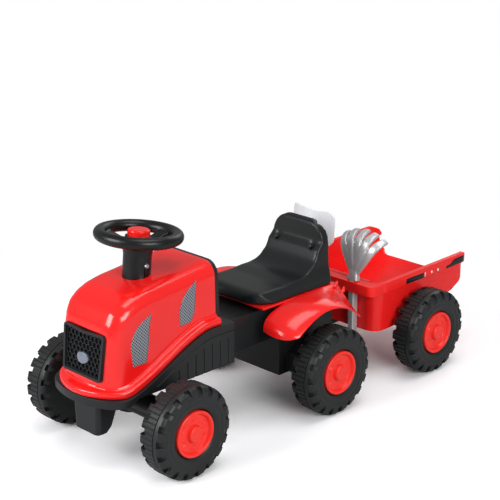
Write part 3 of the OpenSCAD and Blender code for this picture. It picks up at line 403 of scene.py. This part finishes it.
def tyre_mesh(groove):
    """A blow-moulded tyre. Lugs run down over both shoulders from the bands beside the parting groove."""
    bm = bmesh.new()
    wide_inside = groove > WHEEL_W / 2
    band = [(VALLEY_R, RIBBED_BAND)]
    inner = shoulder_arc() + (band if wide_inside else [])
    outer = shoulder_arc() + ([] if wide_inside else band)
    spin_round(bm, INNER_SIDE + inner + [(GROOVE_R, groove - GROOVE_HALF), (GROOVE_R, groove + GROOVE_HALF)]
               + [(r, WHEEL_W - h) for r, h in list(reversed(outer)) + OUTER_SIDE]
               + [(40.2, DISC_SEAT), (BORE_R, DISC_SEAT)], LUGS * COLUMNS)

    def column_at(place):
        """How many columns a place lies past the start of its lug. The far half is staggered."""
        turn = (math.atan2(place.y, place.x) / (2 * math.pi) + 0.25) * LUGS * COLUMNS + LUG_COLUMNS / 2
        return (turn + (0 if place.z < groove * MM else COLUMNS / 2)) % COLUMNS

    def measure(face):
        """The face's middle, its radius, its height in from the nearer side, and whether it is ribbed."""
        c = face.calc_center_median()
        return (c, math.hypot(c.x, c.y) / MM, min(c.z, WHEEL_W * MM - c.z) / MM,
                (c.z < groove * MM) == wide_inside)

    raised = []
    for face in bm.faces:
        c, radius, side, ribbed = measure(face)
        in_band = side > (RIBBED_BAND if ribbed else SMOOTH_BAND)
        if side > 0.3 and radius > LUG_ROOT and abs(c.z / MM - groove) > GROOVE_HALF \
                and (in_band or column_at(c) < LUG_COLUMNS):
            raised.append(face)
    made = bmesh.ops.extrude_face_region(bm, geom=raised)["geom"]
    bmesh.ops.delete(bm, geom=raised, context="FACES")
    for v in (g for g in made if isinstance(g, bmesh.types.BMVert)):
        radius, height = lug_top(min(VALLEY_R, math.hypot(v.co.x, v.co.y) / MM), v.co.z / MM)
        a = math.atan2(v.co.y, v.co.x)
        v.co = Vector((radius * math.cos(a), radius * math.sin(a), height)) * MM
    # Fine cross slots in the ribbed half's raised faces that look outwards.
    bmesh.ops.recalc_face_normals(bm, faces=bm.faces)
    slots = []
    for face in bm.faces:
        c, radius, side, ribbed = measure(face)
        if ribbed and side > SLOT_INSET and abs(c.z / MM - groove) > GROOVE_HALF \
                and abs(radius - WHEEL_R) < 2 and abs(face.normal.z) < UPRIGHT \
                and int(column_at(c)) % SLOT_EVERY == 1:
            slots.append(face)
    bmesh.ops.inset_region(bm, faces=slots, thickness=SLOT_EDGE * MM, depth=-SLOT_DEPTH * MM,
                           use_boundary=True, use_even_offset=True)
    return bm


DISC_SIDE = [(BORE_R, 43.3), (BORE_R, 46), (15, 46), (17, 46.2), (19, 45.2), (22, 44.9), (29, 44.9), (32, 45.6),
             (33.8, 49.6), (34.8, 51.4), (36, 52), (38.4, 52), (39.9, 50.8), (39.9, 43.3)]
WELL_R = (22, 29)
WELL_TURN = (22, 38)  # degrees, in each sixth of the disc
WELL_FLOOR = 44


def disc_mesh():
    """The red disc: a raised ring, a sunk plate with six dimples, and a low collar round the hub."""
    bm = bmesh.new()
    spin_round(bm, DISC_SIDE, 72)
    wells = []
    for f in bm.faces:
        c = f.calc_center_median()
        turn = math.degrees(math.atan2(c.y, c.x)) % 60
        if c.z > WELL_FLOOR * MM and WELL_R[0] * MM < math.hypot(c.x, c.y) < WELL_R[1] * MM \
                and WELL_TURN[0] < turn < WELL_TURN[1]:
            wells.append(f)
    bmesh.ops.inset_region(bm, faces=wells, thickness=1.2 * MM, depth=-1.4 * MM,
                           use_boundary=True, use_even_offset=True)
    return bm


CAP_R, CAP_TOP, CAP_EDGE = 14, 54, 3.4
AXIS = 0.01  # as near the axis as a profile comes


def cap_mesh():
    """The hub cap, a short dome with a round edge and a slight dish."""
    bm = bmesh.new()
    edge = [(CAP_R - CAP_EDGE + CAP_EDGE * math.sin(math.radians(a)),
             CAP_TOP - CAP_EDGE + CAP_EDGE * math.cos(math.radians(a))) for a in range(0, 91, 15)]
    spin_round(bm, [(AXIS, 53.5), (4, 53.6), (8, 53.9)] + edge
               + [(CAP_R, 47.5), (15.4, 46.8), (15.4, 46.1), (AXIS, 46.1)], 64)
    return bm


WHEELS = {"front_left": 1, "front_right": -1, "rear_left": 1, "rear_right": -1,
          "trailer_left": 1, "trailer_right": -1}
# The ribbed half faces the same way on every wheel, so the right wheels' tyres have it on their outer side.
TYRES = {1: tyre_mesh(WIDE_HALF), -1: tyre_mesh(WHEEL_W - WIDE_HALF)}
WHEEL_PARTS = (("tyre", None, [rounded(0.6, 30), EVEN_SHADING]),
               ("disc", disc_mesh(), [rounded(0.5, 40), EVEN_SHADING]),
               ("hub_cap", cap_mesh(), [EVEN_SHADING]))
for wheel, side in WHEELS.items():
    low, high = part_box(wheel + "_tyre")
    middle = (low + high) / 2
    turn = (Matrix.Translation((middle.x, low.y if side > 0 else high.y, middle.z))
            @ Matrix.Rotation(math.radians(-90 * side), 4, "X")
            @ Matrix.Rotation(math.radians(180 if side > 0 else 0), 4, "Z"))
    for part, model, modifiers in WHEEL_PARTS:
        bm = (model or TYRES[side]).copy()
        bmesh.ops.transform(bm, matrix=turn, verts=bm.verts)
        new_piece(wheel + "_" + part + "_moulding", bm, wheel + "_" + part, modifiers)


# ---------- mouldings that keep the frame's shape, with small round edges ----------

SOFT_EDGES = {"chassis": 0.6, "grille": 0.35, "badge": 0.5, "dashboard": 1.0, "steering_column": 0.8,
              "axle_carrier": 1.0, "drawbar": 1.0, "tub": 0.7, "horn_button": 0.6, "hitch_pin": 0.6}
for node, width in SOFT_EDGES.items():
    new_piece(node + "_moulding", merged(node), node, [rounded(width, 34), EVEN_SHADING])

# ---------- seat and fenders ----------

new_piece("seat_moulding", merged("seat"), "seat", melted(2.6, 14))

# Curves from the front lobe back over the wheel: at the fender's root, over its crown and along its thin edge.
FENDER_ROOT = [(104, 83, 82), (103, 83, 94), (95, 83, 106), (78, 83, 115), (52, 83, 121.5), (22, 83, 124.5),
               (-10, 83, 125), (-40, 83, 125), (-66, 83, 124.5), (-88, 83, 123)]
FENDER_CROWN = [(101, 127, 78), (97, 127, 89), (85, 126, 101), (66, 126, 111.5), (42, 126, 119.5),
                (15, 126, 123.5), (-14, 126, 122.5), (-42, 126, 115), (-67, 126, 102), (-86, 126, 87)]
FENDER_EDGE = [(80, 149.5, 83), (78, 149.5, 84.5), (72, 149.5, 88.5), (59, 149.5, 96.5), (39, 149.5, 106),
               (14, 149.5, 112.5), (-13, 149.5, 112.5), (-39, 149.5, 106), (-62, 149.5, 94), (-80, 149.5, 79)]
FENDER_WALL = 2.8
TABS = ((-82, 90, 124), (-76, 112, 120))
TAB_LENGTH, TAB_WIDTH, TAB_TOP, TAB_ROOT = 11, 3.5, 7, -3
TAB_TAPER = 0.35
DECK_PLACE, DECK_SIZE = (9, 0, 123), (190, 168, 3.6)


def fender_place(side):
    """A fender's skin: at each u, the arch that runs from the root over the crown to the edge."""
    def place(u, v):
        root, crown, edge = (along(curve, u) for curve in (FENDER_ROOT, FENDER_CROWN, FENDER_EDGE))
        pull = 2 * crown - 0.5 * (root + edge)
        p = root * (1 - v) ** 2 + pull * 2 * v * (1 - v) + edge * v * v
        return at(p.x, side * p.y, p.z)
    return place


bm = bmesh.new()
for side in (1, -1):
    surface(bm, 54, 18, fender_place(side))
thicken(bm, list(bm.faces), FENDER_WALL)
for side in (1, -1):
    for x, y, z in TABS:
        for v in bmesh.ops.create_cube(bm, size=1)["verts"]:
            top = v.co.z > 0
            v.co = at(x + TAB_LENGTH * (v.co.x + 0.5) * (TAB_TAPER if top else 1),
                      side * (y + TAB_WIDTH * v.co.y), z + (TAB_TOP if top else TAB_ROOT))
for v in bmesh.ops.create_cube(bm, size=1)["verts"]:
    v.co = at(*(place + size * c for place, size, c in zip(DECK_PLACE, DECK_SIZE, v.co)))
new_piece("fenders_moulding", bm, "fenders", [rounded(0.9, 40), EVEN_SHADING])

# ---------- hood ----------

HOOD_REAR = 206
HOOD_WALL = 2.6
SHOULDER_Y = 44
ROOF_R = 26
# Middles of the roof's edge, in x and z, from the nose up to the rear, where it is level.
ROOF_SPOTS = [(402, 148), (399, 163), (394, 174), (385, 181), (371, 187), (347, 192)]
ROOF_REAR_Z = 206
SKIRT = (52, 70)  # two heights of the hood's plan, which keep its sides upright at the foot
# Plans: half the width, the nose's x, the radius round the front and the radius of the corners.
HOOD_PLAN = (73, 441, 190, 40)
FOOT_PLAN = (85, 458.5, 102, 50)
SIDE_END, CORNER_END = 0.5, 0.8  # the shares of a plan's half at which its side and its corner end
FOOT_LOW, FOOT_RISE = 53, 71
RISE_START, RISE_LENGTH = 415, 180


def foot_height(x):
    """Height of the foot's lower edge: level, an S-curve up, and level again at the rear."""
    t = min(1, max(0, (RISE_START - x) / RISE_LENGTH))
    return FOOT_LOW + FOOT_RISE * (t + (1 - math.cos(math.pi * t)) / 2) / 2


def nose_line(plan, t):
    """A plan of the nose, from the rear of its left side (0) round the front to the right side (1)."""
    half, nose, front_r, corner_r = plan
    side, t = (1 if t < 0.5 else -1), 1 - abs(2 * t - 1)
    corner_y, centre_x = half - corner_r, nose - front_r
    corner_x = centre_x + math.sqrt((front_r - corner_r) ** 2 - corner_y ** 2)
    fan = math.atan2(corner_y, corner_x - centre_x)
    if t < SIDE_END:
        return HOOD_REAR + (corner_x - HOOD_REAR) * t / SIDE_END, side * half
    if t < CORNER_END:
        a = math.pi / 2 - (math.pi / 2 - fan) * (t - SIDE_END) / (CORNER_END - SIDE_END)
        return corner_x + corner_r * math.cos(a), side * (corner_y + corner_r * math.sin(a))
    a = fan * (1 - (t - CORNER_END) / (1 - CORNER_END))
    return centre_x + front_r * math.cos(a), side * front_r * math.sin(a)


def hood_tree():
    """The smooth closed form that the hood's skin lies on."""
    bm = bmesh.new()
    steps = 240
    for height in SKIRT:
        for i, v in enumerate(bmesh.ops.create_circle(bm, segments=steps, radius=1)["verts"]):
            x, y = nose_line(HOOD_PLAN, i / (steps - 1))
            v.co = at(x, y, height)
    for side in (1, -1):
        for x, z in ROOF_SPOTS:
            made = bmesh.ops.create_uvsphere(bm, u_segments=72, v_segments=36, radius=ROOF_R * MM)["verts"]
            bmesh.ops.translate(bm, verts=made, vec=at(x, side * SHOULDER_Y, z))
        for x in (HOOD_REAR, HOOD_REAR + 10):
            made = bmesh.ops.create_circle(bm, segments=72, radius=ROOF_R * MM)["verts"]
            bmesh.ops.rotate(bm, verts=made, matrix=Matrix.Rotation(math.pi / 2, 3, "Y"))
            bmesh.ops.translate(bm, verts=made, vec=at(x, side * SHOULDER_Y, ROOF_REAR_Z))
    bmesh.ops.convex_hull(bm, input=bm.verts)
    tree = BVHTree.FromBMesh(bm)
    bm.free()
    return tree


GRILLE_LEAN = math.radians(6.4)
GRILLE_FOOT = (439, 0, 77)
GRILLE_W, GRILLE_H = 100, 80
GRILLE_SIDE, GRILLE_FLARE = 2, 3  # narrower than GRILLE_W at the foot, and how much wider at the top
GRILLE_MARGIN = 3.2
GRILLE_BACK = -40  # how far behind the grille's foot its pocket may reach
GRILLE_SINK = 8


def in_grille(place):
    """Whether a place lies behind the grille, in from its outline by the margin."""
    p = (place - at(*GRILLE_FOOT)) / MM
    up = p.z * math.cos(GRILLE_LEAN) - p.x * math.sin(GRILLE_LEAN)
    half = GRILLE_W / 2 - GRILLE_SIDE + GRILLE_FLARE * up / GRILLE_H
    return p.x > GRILLE_BACK and GRILLE_MARGIN < up < GRILLE_H - GRILLE_MARGIN \
        and abs(p.y) < half - GRILLE_MARGIN


form = hood_tree()
FAN_X = 372
FAN_START = 0.55  # the share of the arches that stand upright before they fan out
SKIN_LIFT, SKIN_DIP = 8, 10  # the arches' centre over the foot's edge, and how far it sinks at the nose
RAY_START = 0.6


def hood_skin(u, v):
    """The skin in arches across the hood, which fan out round the nose."""
    fan = max(0, (u - FAN_START) / (1 - FAN_START))
    lean = fan * math.pi / 2
    x = HOOD_REAR + 0.01 + (FAN_X - HOOD_REAR) * min(1, u / FAN_START)
    start = at(x, 0, foot_height(x) + SKIN_LIFT - SKIN_DIP * fan)
    a = math.pi * (v - 0.5)
    way = Vector((math.cos(a) * math.sin(lean), -math.sin(a), math.cos(a) * math.cos(lean)))
    hit = form.ray_cast(start + RAY_START * way, -way)[0]
    if in_grille(hit):
        hit = hit + Vector((-math.cos(GRILLE_LEAN), 0, -math.sin(GRILLE_LEAN))) * GRILLE_SINK * MM
    return hit


# The foot's section: the share of the way from the hood's side to the lip, and the height over its edge.
FOOT = [(-0.7, 0.3), (0.94, 0.3), (1, 1.4), (1, 7.6), (0.97, 9.4), (0.9, 10.6), (0.76, 11.4), (0.42, 12.2),
        (0.16, 13), (0.05, 14.2), (0, 17), (-0.7, 17)]


def hood_foot(u, v):
    """The rolled foot. Its section runs from the hood's side out to the lip and back."""
    inner, outer = nose_line(HOOD_PLAN, u), nose_line(FOOT_PLAN, u)
    f, up = FOOT[round(v * len(FOOT)) % len(FOOT)]
    x, y = (inner[k] + (outer[k] - inner[k]) * f for k in (0, 1))
    return at(x, y, foot_height(max(x, HOOD_REAR)) + up)


bm = bmesh.new()
surface(bm, 150, 110, hood_skin)
thicken(bm, list(bm.faces), HOOD_WALL)
surface(bm, 260, len(FOOT), hood_foot)
new_piece("hood_moulding", bm, "hood", [rounded(0.6, 50)])

# ---------- the rake and the shovel ----------

TOOL_X = -151.1
TOOL_TOP = 109  # where the handle ends and the tool's own shape starts
HANDLE = (6.4, 7.4)


def tool(name, y, lean, shape):
    """A tool: a square handle with a neck, and its own shape, melted into one moulding."""
    bm = bmesh.new()
    bar(bm, [at(TOOL_X, y, z) for z in (-24.5, 20, 70, TOOL_TOP - 0.2)], [HANDLE] * 4, rows=40, corner=0.25)
    start = at(TOOL_X, y, TOOL_TOP)
    tilt = Matrix.Rotation(math.radians(-lean), 4, "Y")

    def place(x, y, z):
        return start + (tilt @ Vector((x, y, z))) * MM
    shape(bm, place)
    return new_piece(name + "_moulding", bm, name, melted(1.25, 5))


# A finger of the rake: places forward of the fan and out along it, and its half sizes on the way.
FINGER = [(0, 10), (0.4, 32), (0.4, 52), (-1.5, 68), (-8, 80), (-19, 88), (-26, 88)]
FINGER_SIZES = [(4.8, 3.6), (6.4, 4.4), (7.6, 4.4), (7.8, 4.4), (7.6, 4.4), (6.8, 4), (5.8, 3.6)]
FINGER_TURN = 15


def rake_shape(bm, place):
    """A neck that widens into five fingers, which fan out and curl forward."""
    bar(bm, [place(0, 0, z) for z in (0.3, 8, 16, 26)], [(12.8, 7), (11, 6.6), (9, 6), (12, 4.5)], corner=0.35)
    for i in range(-2, 3):
        a = math.radians(FINGER_TURN * i)
        path = [place(x + 1.2 * (i % 2), -d * math.sin(a), 4 + d * math.cos(a)) for x, d in FINGER]
        bar(bm, path, FINGER_SIZES, rows=30, corner=0.42, across=Vector((0, math.cos(a), math.sin(a))))


BLADE_LOW, BLADE_H = 16, 101
BLADE_GROWS = 44  # the height over which the blade reaches its full width
BLADE_NARROW, BLADE_WIDENS = 9, 49
BLADE_TOP, BLADE_CORNER = 97, 20
BLADE_CURVE, BLADE_BACK = 80, 78.6  # the radius of its hollow, to the middle of the plate and to its skin
BLADE_WALL = 2.6
BLADE_STEPS = 40


def shovel_shape(bm, place):
    """A hollow blade with round shoulders and round top corners, on a neck that runs up its back."""
    def blade(u, v):
        up = BLADE_LOW + BLADE_H * u
        grow = min(1, max(0, (up - BLADE_LOW) / BLADE_GROWS))
        half = BLADE_NARROW + BLADE_WIDENS * (3 * grow ** 2 - 2 * grow ** 3)
        top = max(0, (up - BLADE_TOP) / BLADE_CORNER)
        half -= BLADE_CORNER * (1 - math.sqrt(max(0, 1 - top * top)))
        a = half * (2 * v - 1) / BLADE_CURVE
        return place(7.4 - BLADE_CURVE + BLADE_BACK * math.cos(a), 2.5 * grow + BLADE_BACK * math.sin(a), up)
    surface(bm, BLADE_STEPS, BLADE_STEPS, blade)
    thicken(bm, list(bm.faces)[-BLADE_STEPS ** 2:], BLADE_WALL)
    bar(bm, [place(0, 0, z) for z in (0.3, 14, 32, 56)], [(12.8, 7), (10, 6.4), (9, 5), (4, 2)], corner=0.35)


tool("rake", 68, 9, rake_shape)
tool("shovel", -52, 4, shovel_shape)

# ---------- steering wheel ----------

LEAN = math.radians(6)
AXIS_X = 341
steering_axis = Vector((-math.sin(LEAN), 0, math.cos(LEAN)))
RIM_R, RIM_HALF, RIM_Z = 64.5, 10.5, 290
# A spoke's radii and heights, and its half sizes on the way.
SPOKE = ((14, 276), (30, 277), (48, 284), (66, 289))
SPOKE_SIZES = [(15, 5), (13, 4), (12, 4), (14, 5)]
# The hub's cup that holds the button, as (radius, height), open at the top.
CUP = ((0, 270), (22.5, 270), (23.5, 274), (22.6, 289), (19.6, 289), (19.6, 280), (19.6, 274), (0, 274),
       (0, 270))


def on_axis(out, turn, height):
    """A place round the steering axis, in millimetres, from the point level with the axles."""
    ahead = Vector((math.cos(LEAN), 0, math.sin(LEAN)))
    a = math.radians(turn)
    return at(AXIS_X, 0, 0) + (ahead * out * math.cos(a) + Vector((0, 1, 0)) * out * math.sin(a)
                               + steering_axis * height) * MM


def rim_place(u, v):
    """The rim, a plain ring."""
    a = 2 * math.pi * v
    return on_axis(RIM_R + RIM_HALF * math.cos(a), 360 * u, RIM_Z + RIM_HALF * math.sin(a))


def cup_place(u, v):
    """The cup, one point of its section for each row."""
    radius, height = CUP[round(u * (len(CUP) - 1))]
    return on_axis(radius, 360 * v, height)


bm = bmesh.new()
surface(bm, 96, 24, rim_place)
for turn in (60, 180, 300):
    bar(bm, [on_axis(out, turn, height) for out, height in SPOKE], SPOKE_SIZES, rows=20, corner=0.6,
        across=on_axis(10, turn + 90, 0) - on_axis(0, 0, 0))
surface(bm, len(CUP) - 1, 48, cup_place)
new_piece("steering_wheel_moulding", bm, "steering_wheel", melted(1.4, 6))

# The horn's return spring shortens as the button goes down; here it only gets its own copy of the mesh.
spring = new_piece("horn_spring_coil", merged("horn_spring"), "horn_spring")
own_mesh(spring)

# ---------- printed films on the hood and the trailer ----------

FILM = 0.3
FILM_LIFT = 0.12


def film(name, tree, anchor, edges, node, finish, slot, rows=24, cols=8):
    """A thin printed film beside the node. edges are its left and right edge, as offsets in x and z from
    the anchor, and it lies on the surface that a ray along the width finds."""
    bm = bmesh.new()
    out = Vector((0, math.copysign(1, anchor.y), 0))

    def place(u, v):
        a, b = (along(edge, u) for edge in edges)
        p = anchor + Vector((a.x + (b.x - a.x) * v, 0, a.y + (b.y - a.y) * v)) * MM
        hit, facing = tree.ray_cast(Vector((p.x, 0, p.z)) + out, -out)[:2]
        if hit is None:
            hit, facing = tree.find_nearest(p)[:2]
        return hit + facing * FILM_LIFT * MM
    surface(bm, rows, cols, place)
    bmesh.ops.solidify(bm, geom=list(bm.faces), thickness=FILM * MM)
    return new_piece(name, bm, node, finish=finish, replaces=False)


def on_both_sides(name, tree, spot, *rest, **grid):
    """The same film on the left and the right side."""
    for side, word in ((1, "left"), (-1, "right")):
        film(f"{name}_{word}", tree, Vector((spot.x, side * spot.y, spot.z)), *rest, **grid)


FRONT_VENT = ([(20, -40), (22, -20), (22, 1), (8, 24), (-22, 40)],
              [(-8, -40), (-13, -20), (-16, 4), (-19, 24), (-23, 40)])
REAR_VENT = ([(19, -31), (20, -18), (20, -4), (8, 20), (-18, 39)],
             [(-4, -29), (-12, -17), (-15, 0), (-17, 16), (-19, 39)])
for point, edges in (("front_vent", FRONT_VENT), ("rear_vent", REAR_VENT)):
    on_both_sides(point + "_film", form, under_point(point, form), edges, "badge", VENT_FILM, "badge_silver")

tub = merged("tub")
tub_form = BVHTree.FromBMesh(tub)
tub.free()


def strip(start, end, low, high):
    """The two edges of a straight strip that runs from start to end."""
    steps = [start + (end - start) * k / 4 for k in range(5)]
    return [(x, high) for x in steps], [(x, low) for x in steps]


STEPPED_BAND = ([(29, 0.5), (16, 2.5), (6, 8.5), (-10, 10), (-28, 10)],
                [(29, -4.5), (14, -4), (2, -3.5), (-12, -3), (-28, -3)])
front_spot, rear_spot = (under_point(name, tub_form) for name in ("front_band", "rear_band"))
TUB_FILMS = (("front_band", front_spot, strip(26, -27, -5.5, 4.5), BAND_BLACK, "grille_black"),
             ("front_tick", front_spot, strip(-29.5, -31.5, -4.5, 4.5), TICK_WHITE, "badge_silver"),
             ("front_dot", front_spot, strip(-49, -53, -2.2, 2.2), TICK_WHITE, "badge_silver"),
             ("rear_dot", front_spot, strip(-68, -72, -2.2, 2.2), TICK_WHITE, "badge_silver"),
             ("rear_band", rear_spot, STEPPED_BAND, BAND_BLACK, "grille_black"))
for name, spot, edges, finish, slot in TUB_FILMS:
    on_both_sides("tub_" + name, tub_form, spot, edges, "tub", finish, slot, rows=12, cols=4)

# ---------- floor, backdrop and soft studio light ----------

FLOOR_HALF = 30
FLOOR_TO_CAMERA = (1.17, 1.17, 1.19, 1)  # bright enough to be white where no shadow falls
FLOOR_TO_TOY = (0.55, 0.55, 0.56, 1)
FADE = (0.55, 1.0)  # where the floor runs out to pure white, in metres from the middle
WORLD_LIGHT = 0.33
# Each lamp's place, size and power.
LAMPS = {"window_left_front": ((2.4, -0.7, 1.3), (1.5, 1.2), 56),
         "window_right_front": ((0.7, 2.6, 1.3), (1.6, 1.1), 46),
         "roof_light": ((-0.1, 0.5, 2.6), (1.8, 1.2), 22),
         "back_light": ((-2.2, -0.6, 1.6), (1.4, 1.2), 9)}
LAMPS_FACE = Vector((0.05, 0, 0.15))


def floor_material():
    """Pale paper that keeps the shadow near the toy and runs out to pure white for the camera."""
    mat, tree, shader, place = new_material("pale_studio_floor")
    path = add_node(tree, "ShaderNodeLightPath")
    to_camera = path.outputs["Is Camera Ray"]
    tree.links.new(blend(tree, to_camera, FLOOR_TO_TOY, FLOOR_TO_CAMERA), shader.inputs["Base Color"])
    shader.inputs["Roughness"].default_value = 0.9
    shader.inputs["Specular IOR Level"].default_value = 0.0
    away = add_node(tree, "ShaderNodeVectorMath", {"operation": "LENGTH"}, n0=place)
    far = add_node(tree, "ShaderNodeMapRange",
                   {"interpolation_type": "SMOOTHSTEP", "From Min": FADE[0], "From Max": FADE[1]},
                   Value=away.outputs["Value"])
    blank = add_node(tree, "ShaderNodeMath", {"operation": "MULTIPLY"}, n0=far.outputs["Result"], n1=to_camera)
    white = add_node(tree, "ShaderNodeEmission", {"Color": (1, 1, 1, 1), "Strength": 1.0})
    both = add_node(tree, "ShaderNodeMixShader", n0=blank.outputs[0], n1=shader.outputs[0], n2=white.outputs[0])
    tree.links.new(both.outputs[0], tree.nodes["Material Output"].inputs["Surface"])
    return mat


def studio():
    """A wide floor, a world that is white to the camera, and four large soft lamps."""
    bm = bmesh.new()
    bmesh.ops.create_grid(bm, x_segments=1, y_segments=1, size=FLOOR_HALF)
    mesh = bpy.data.meshes.new("studio_floor")
    bm.to_mesh(mesh)
    bm.free()
    floor = bpy.data.objects.new("studio_floor", mesh)
    scene.collection.objects.link(floor)
    mesh.materials.append(floor_material())
    world = bpy.data.worlds.new("studio")
    scene.world = world
    world.use_nodes = True
    tree = world.node_tree
    back = tree.nodes["Background"]
    path = add_node(tree, "ShaderNodeLightPath")
    direct = add_node(tree, "ShaderNodeMath", {"operation": "MAXIMUM"}, n0=path.outputs["Is Camera Ray"],
                      n1=path.outputs["Is Transmission Ray"])
    strength = add_node(tree, "ShaderNodeMapRange", {"To Min": WORLD_LIGHT, "To Max": 1.0},
                        Value=direct.outputs[0])
    back.inputs["Color"].default_value = (1, 1, 1, 1)
    tree.links.new(strength.outputs["Result"], back.inputs["Strength"])
    for name, (place, size, power) in LAMPS.items():
        lamp = bpy.data.lights.new(name, "AREA")
        lamp.shape = "RECTANGLE"
        lamp.size, lamp.size_y = size
        lamp.energy = power
        obj = bpy.data.objects.new(name, lamp)
        obj.location = place
        obj.rotation_euler = (LAMPS_FACE - Vector(place)).to_track_quat("-Z", "Y").to_euler()
        scene.collection.objects.link(obj)


studio()
scene.view_settings.view_transform = "Standard"

# ---------- how far each thing shows from its image point ----------

depsgraph = bpy.context.evaluated_depsgraph_get()
NEAR_MISS = 0.0015  # metres short of a place at which a ray to it still counts as free
SAMPLES = slice(0, 4000, 5)  # the sorted places that are tried
DISC_RIM = 3


def shown_places(piece):
    """The finished vertices of a piece, in the frame's metres."""
    return [v.co.copy() for v in bpy.data.objects[piece].evaluated_get(depsgraph).to_mesh().vertices]


def seen(place):
    """Whether nothing stands between the camera and the place."""
    start = camera.matrix_basis.translation
    way = place - start
    hit = scene.ray_cast(depsgraph, start, way.normalized(), distance=way.length - NEAR_MISS)
    return not hit[0]


def extreme(piece, key):
    """The image place of the piece's vertex that comes first by the key and shows."""
    places = sorted(shown_places(piece), key=lambda p: key(*on_image(p)))
    return next((on_image(p) for p in places[SAMPLES] if seen(p)), on_image(places[0]))


def middle_of(piece, share=0.0):
    """The image place of the middle of a piece's box, or of the part of it within the share in millimetres
    of its outermost y."""
    places = shown_places(piece)
    if share:
        out = max(abs(p.y) for p in places)
        places = [p for p in places if abs(p.y) > out - share * MM]
    spots = [on_image(p) for p in places]
    return tuple((min(s[k] for s in spots) + max(s[k] for s in spots)) / 2 for k in (0, 1))


# The rider hides the shovel's top edge up to this x.
HIDDEN_TO = POINTS["seat_back_corner"][0] + 4
shown = {
    "left_edge": extreme("front_right_tyre_moulding", lambda x, y: x),
    "right_edge": extreme("tub_moulding", lambda x, y: -x),
    "shovel_top": extreme("shovel_moulding", lambda x, y: y if x > HIDDEN_TO else PHOTO_H),
    "shovel_corner": extreme("shovel_moulding", lambda x, y: y - x),
    "lowest_tyre": extreme("front_left_tyre_moulding", lambda x, y: -y),
    "front_left_disc": middle_of("front_left_disc_moulding", DISC_RIM),
    "rear_left_disc": middle_of("rear_left_disc_moulding", DISC_RIM),
    "trailer_left_disc": middle_of("trailer_left_disc_moulding", DISC_RIM),
    "steering_wheel_left": extreme("steering_wheel_moulding", lambda x, y: x),
    "horn_button": extreme("horn_button_moulding", lambda x, y: y),
    "badge": middle_of("badge_moulding"),
    "grille_top_corner": extreme("grille_moulding", lambda x, y: y * 0.35 - x),
    "column_screw": middle_of("column_screw", 2),
    "fender_tip": extreme("fenders_moulding", lambda x, y: -x),
    "seat_back_corner": extreme("seat_moulding", lambda x, y: y - 0.5 * x),
    "front_vent": middle_of("front_vent_film_left"),
    "rear_vent": middle_of("rear_vent_film_left"),
    "front_band": middle_of("tub_front_band_left"),
    "rear_band": middle_of("tub_rear_band_left"),
}
({name: {"point": POINTS[name], "shows": [round(v, 1) for v in spot],
                  "off": [None if p is None else round(v - p, 1) for v, p in zip(spot, POINTS[name])]}
           for name, spot in shown.items()})
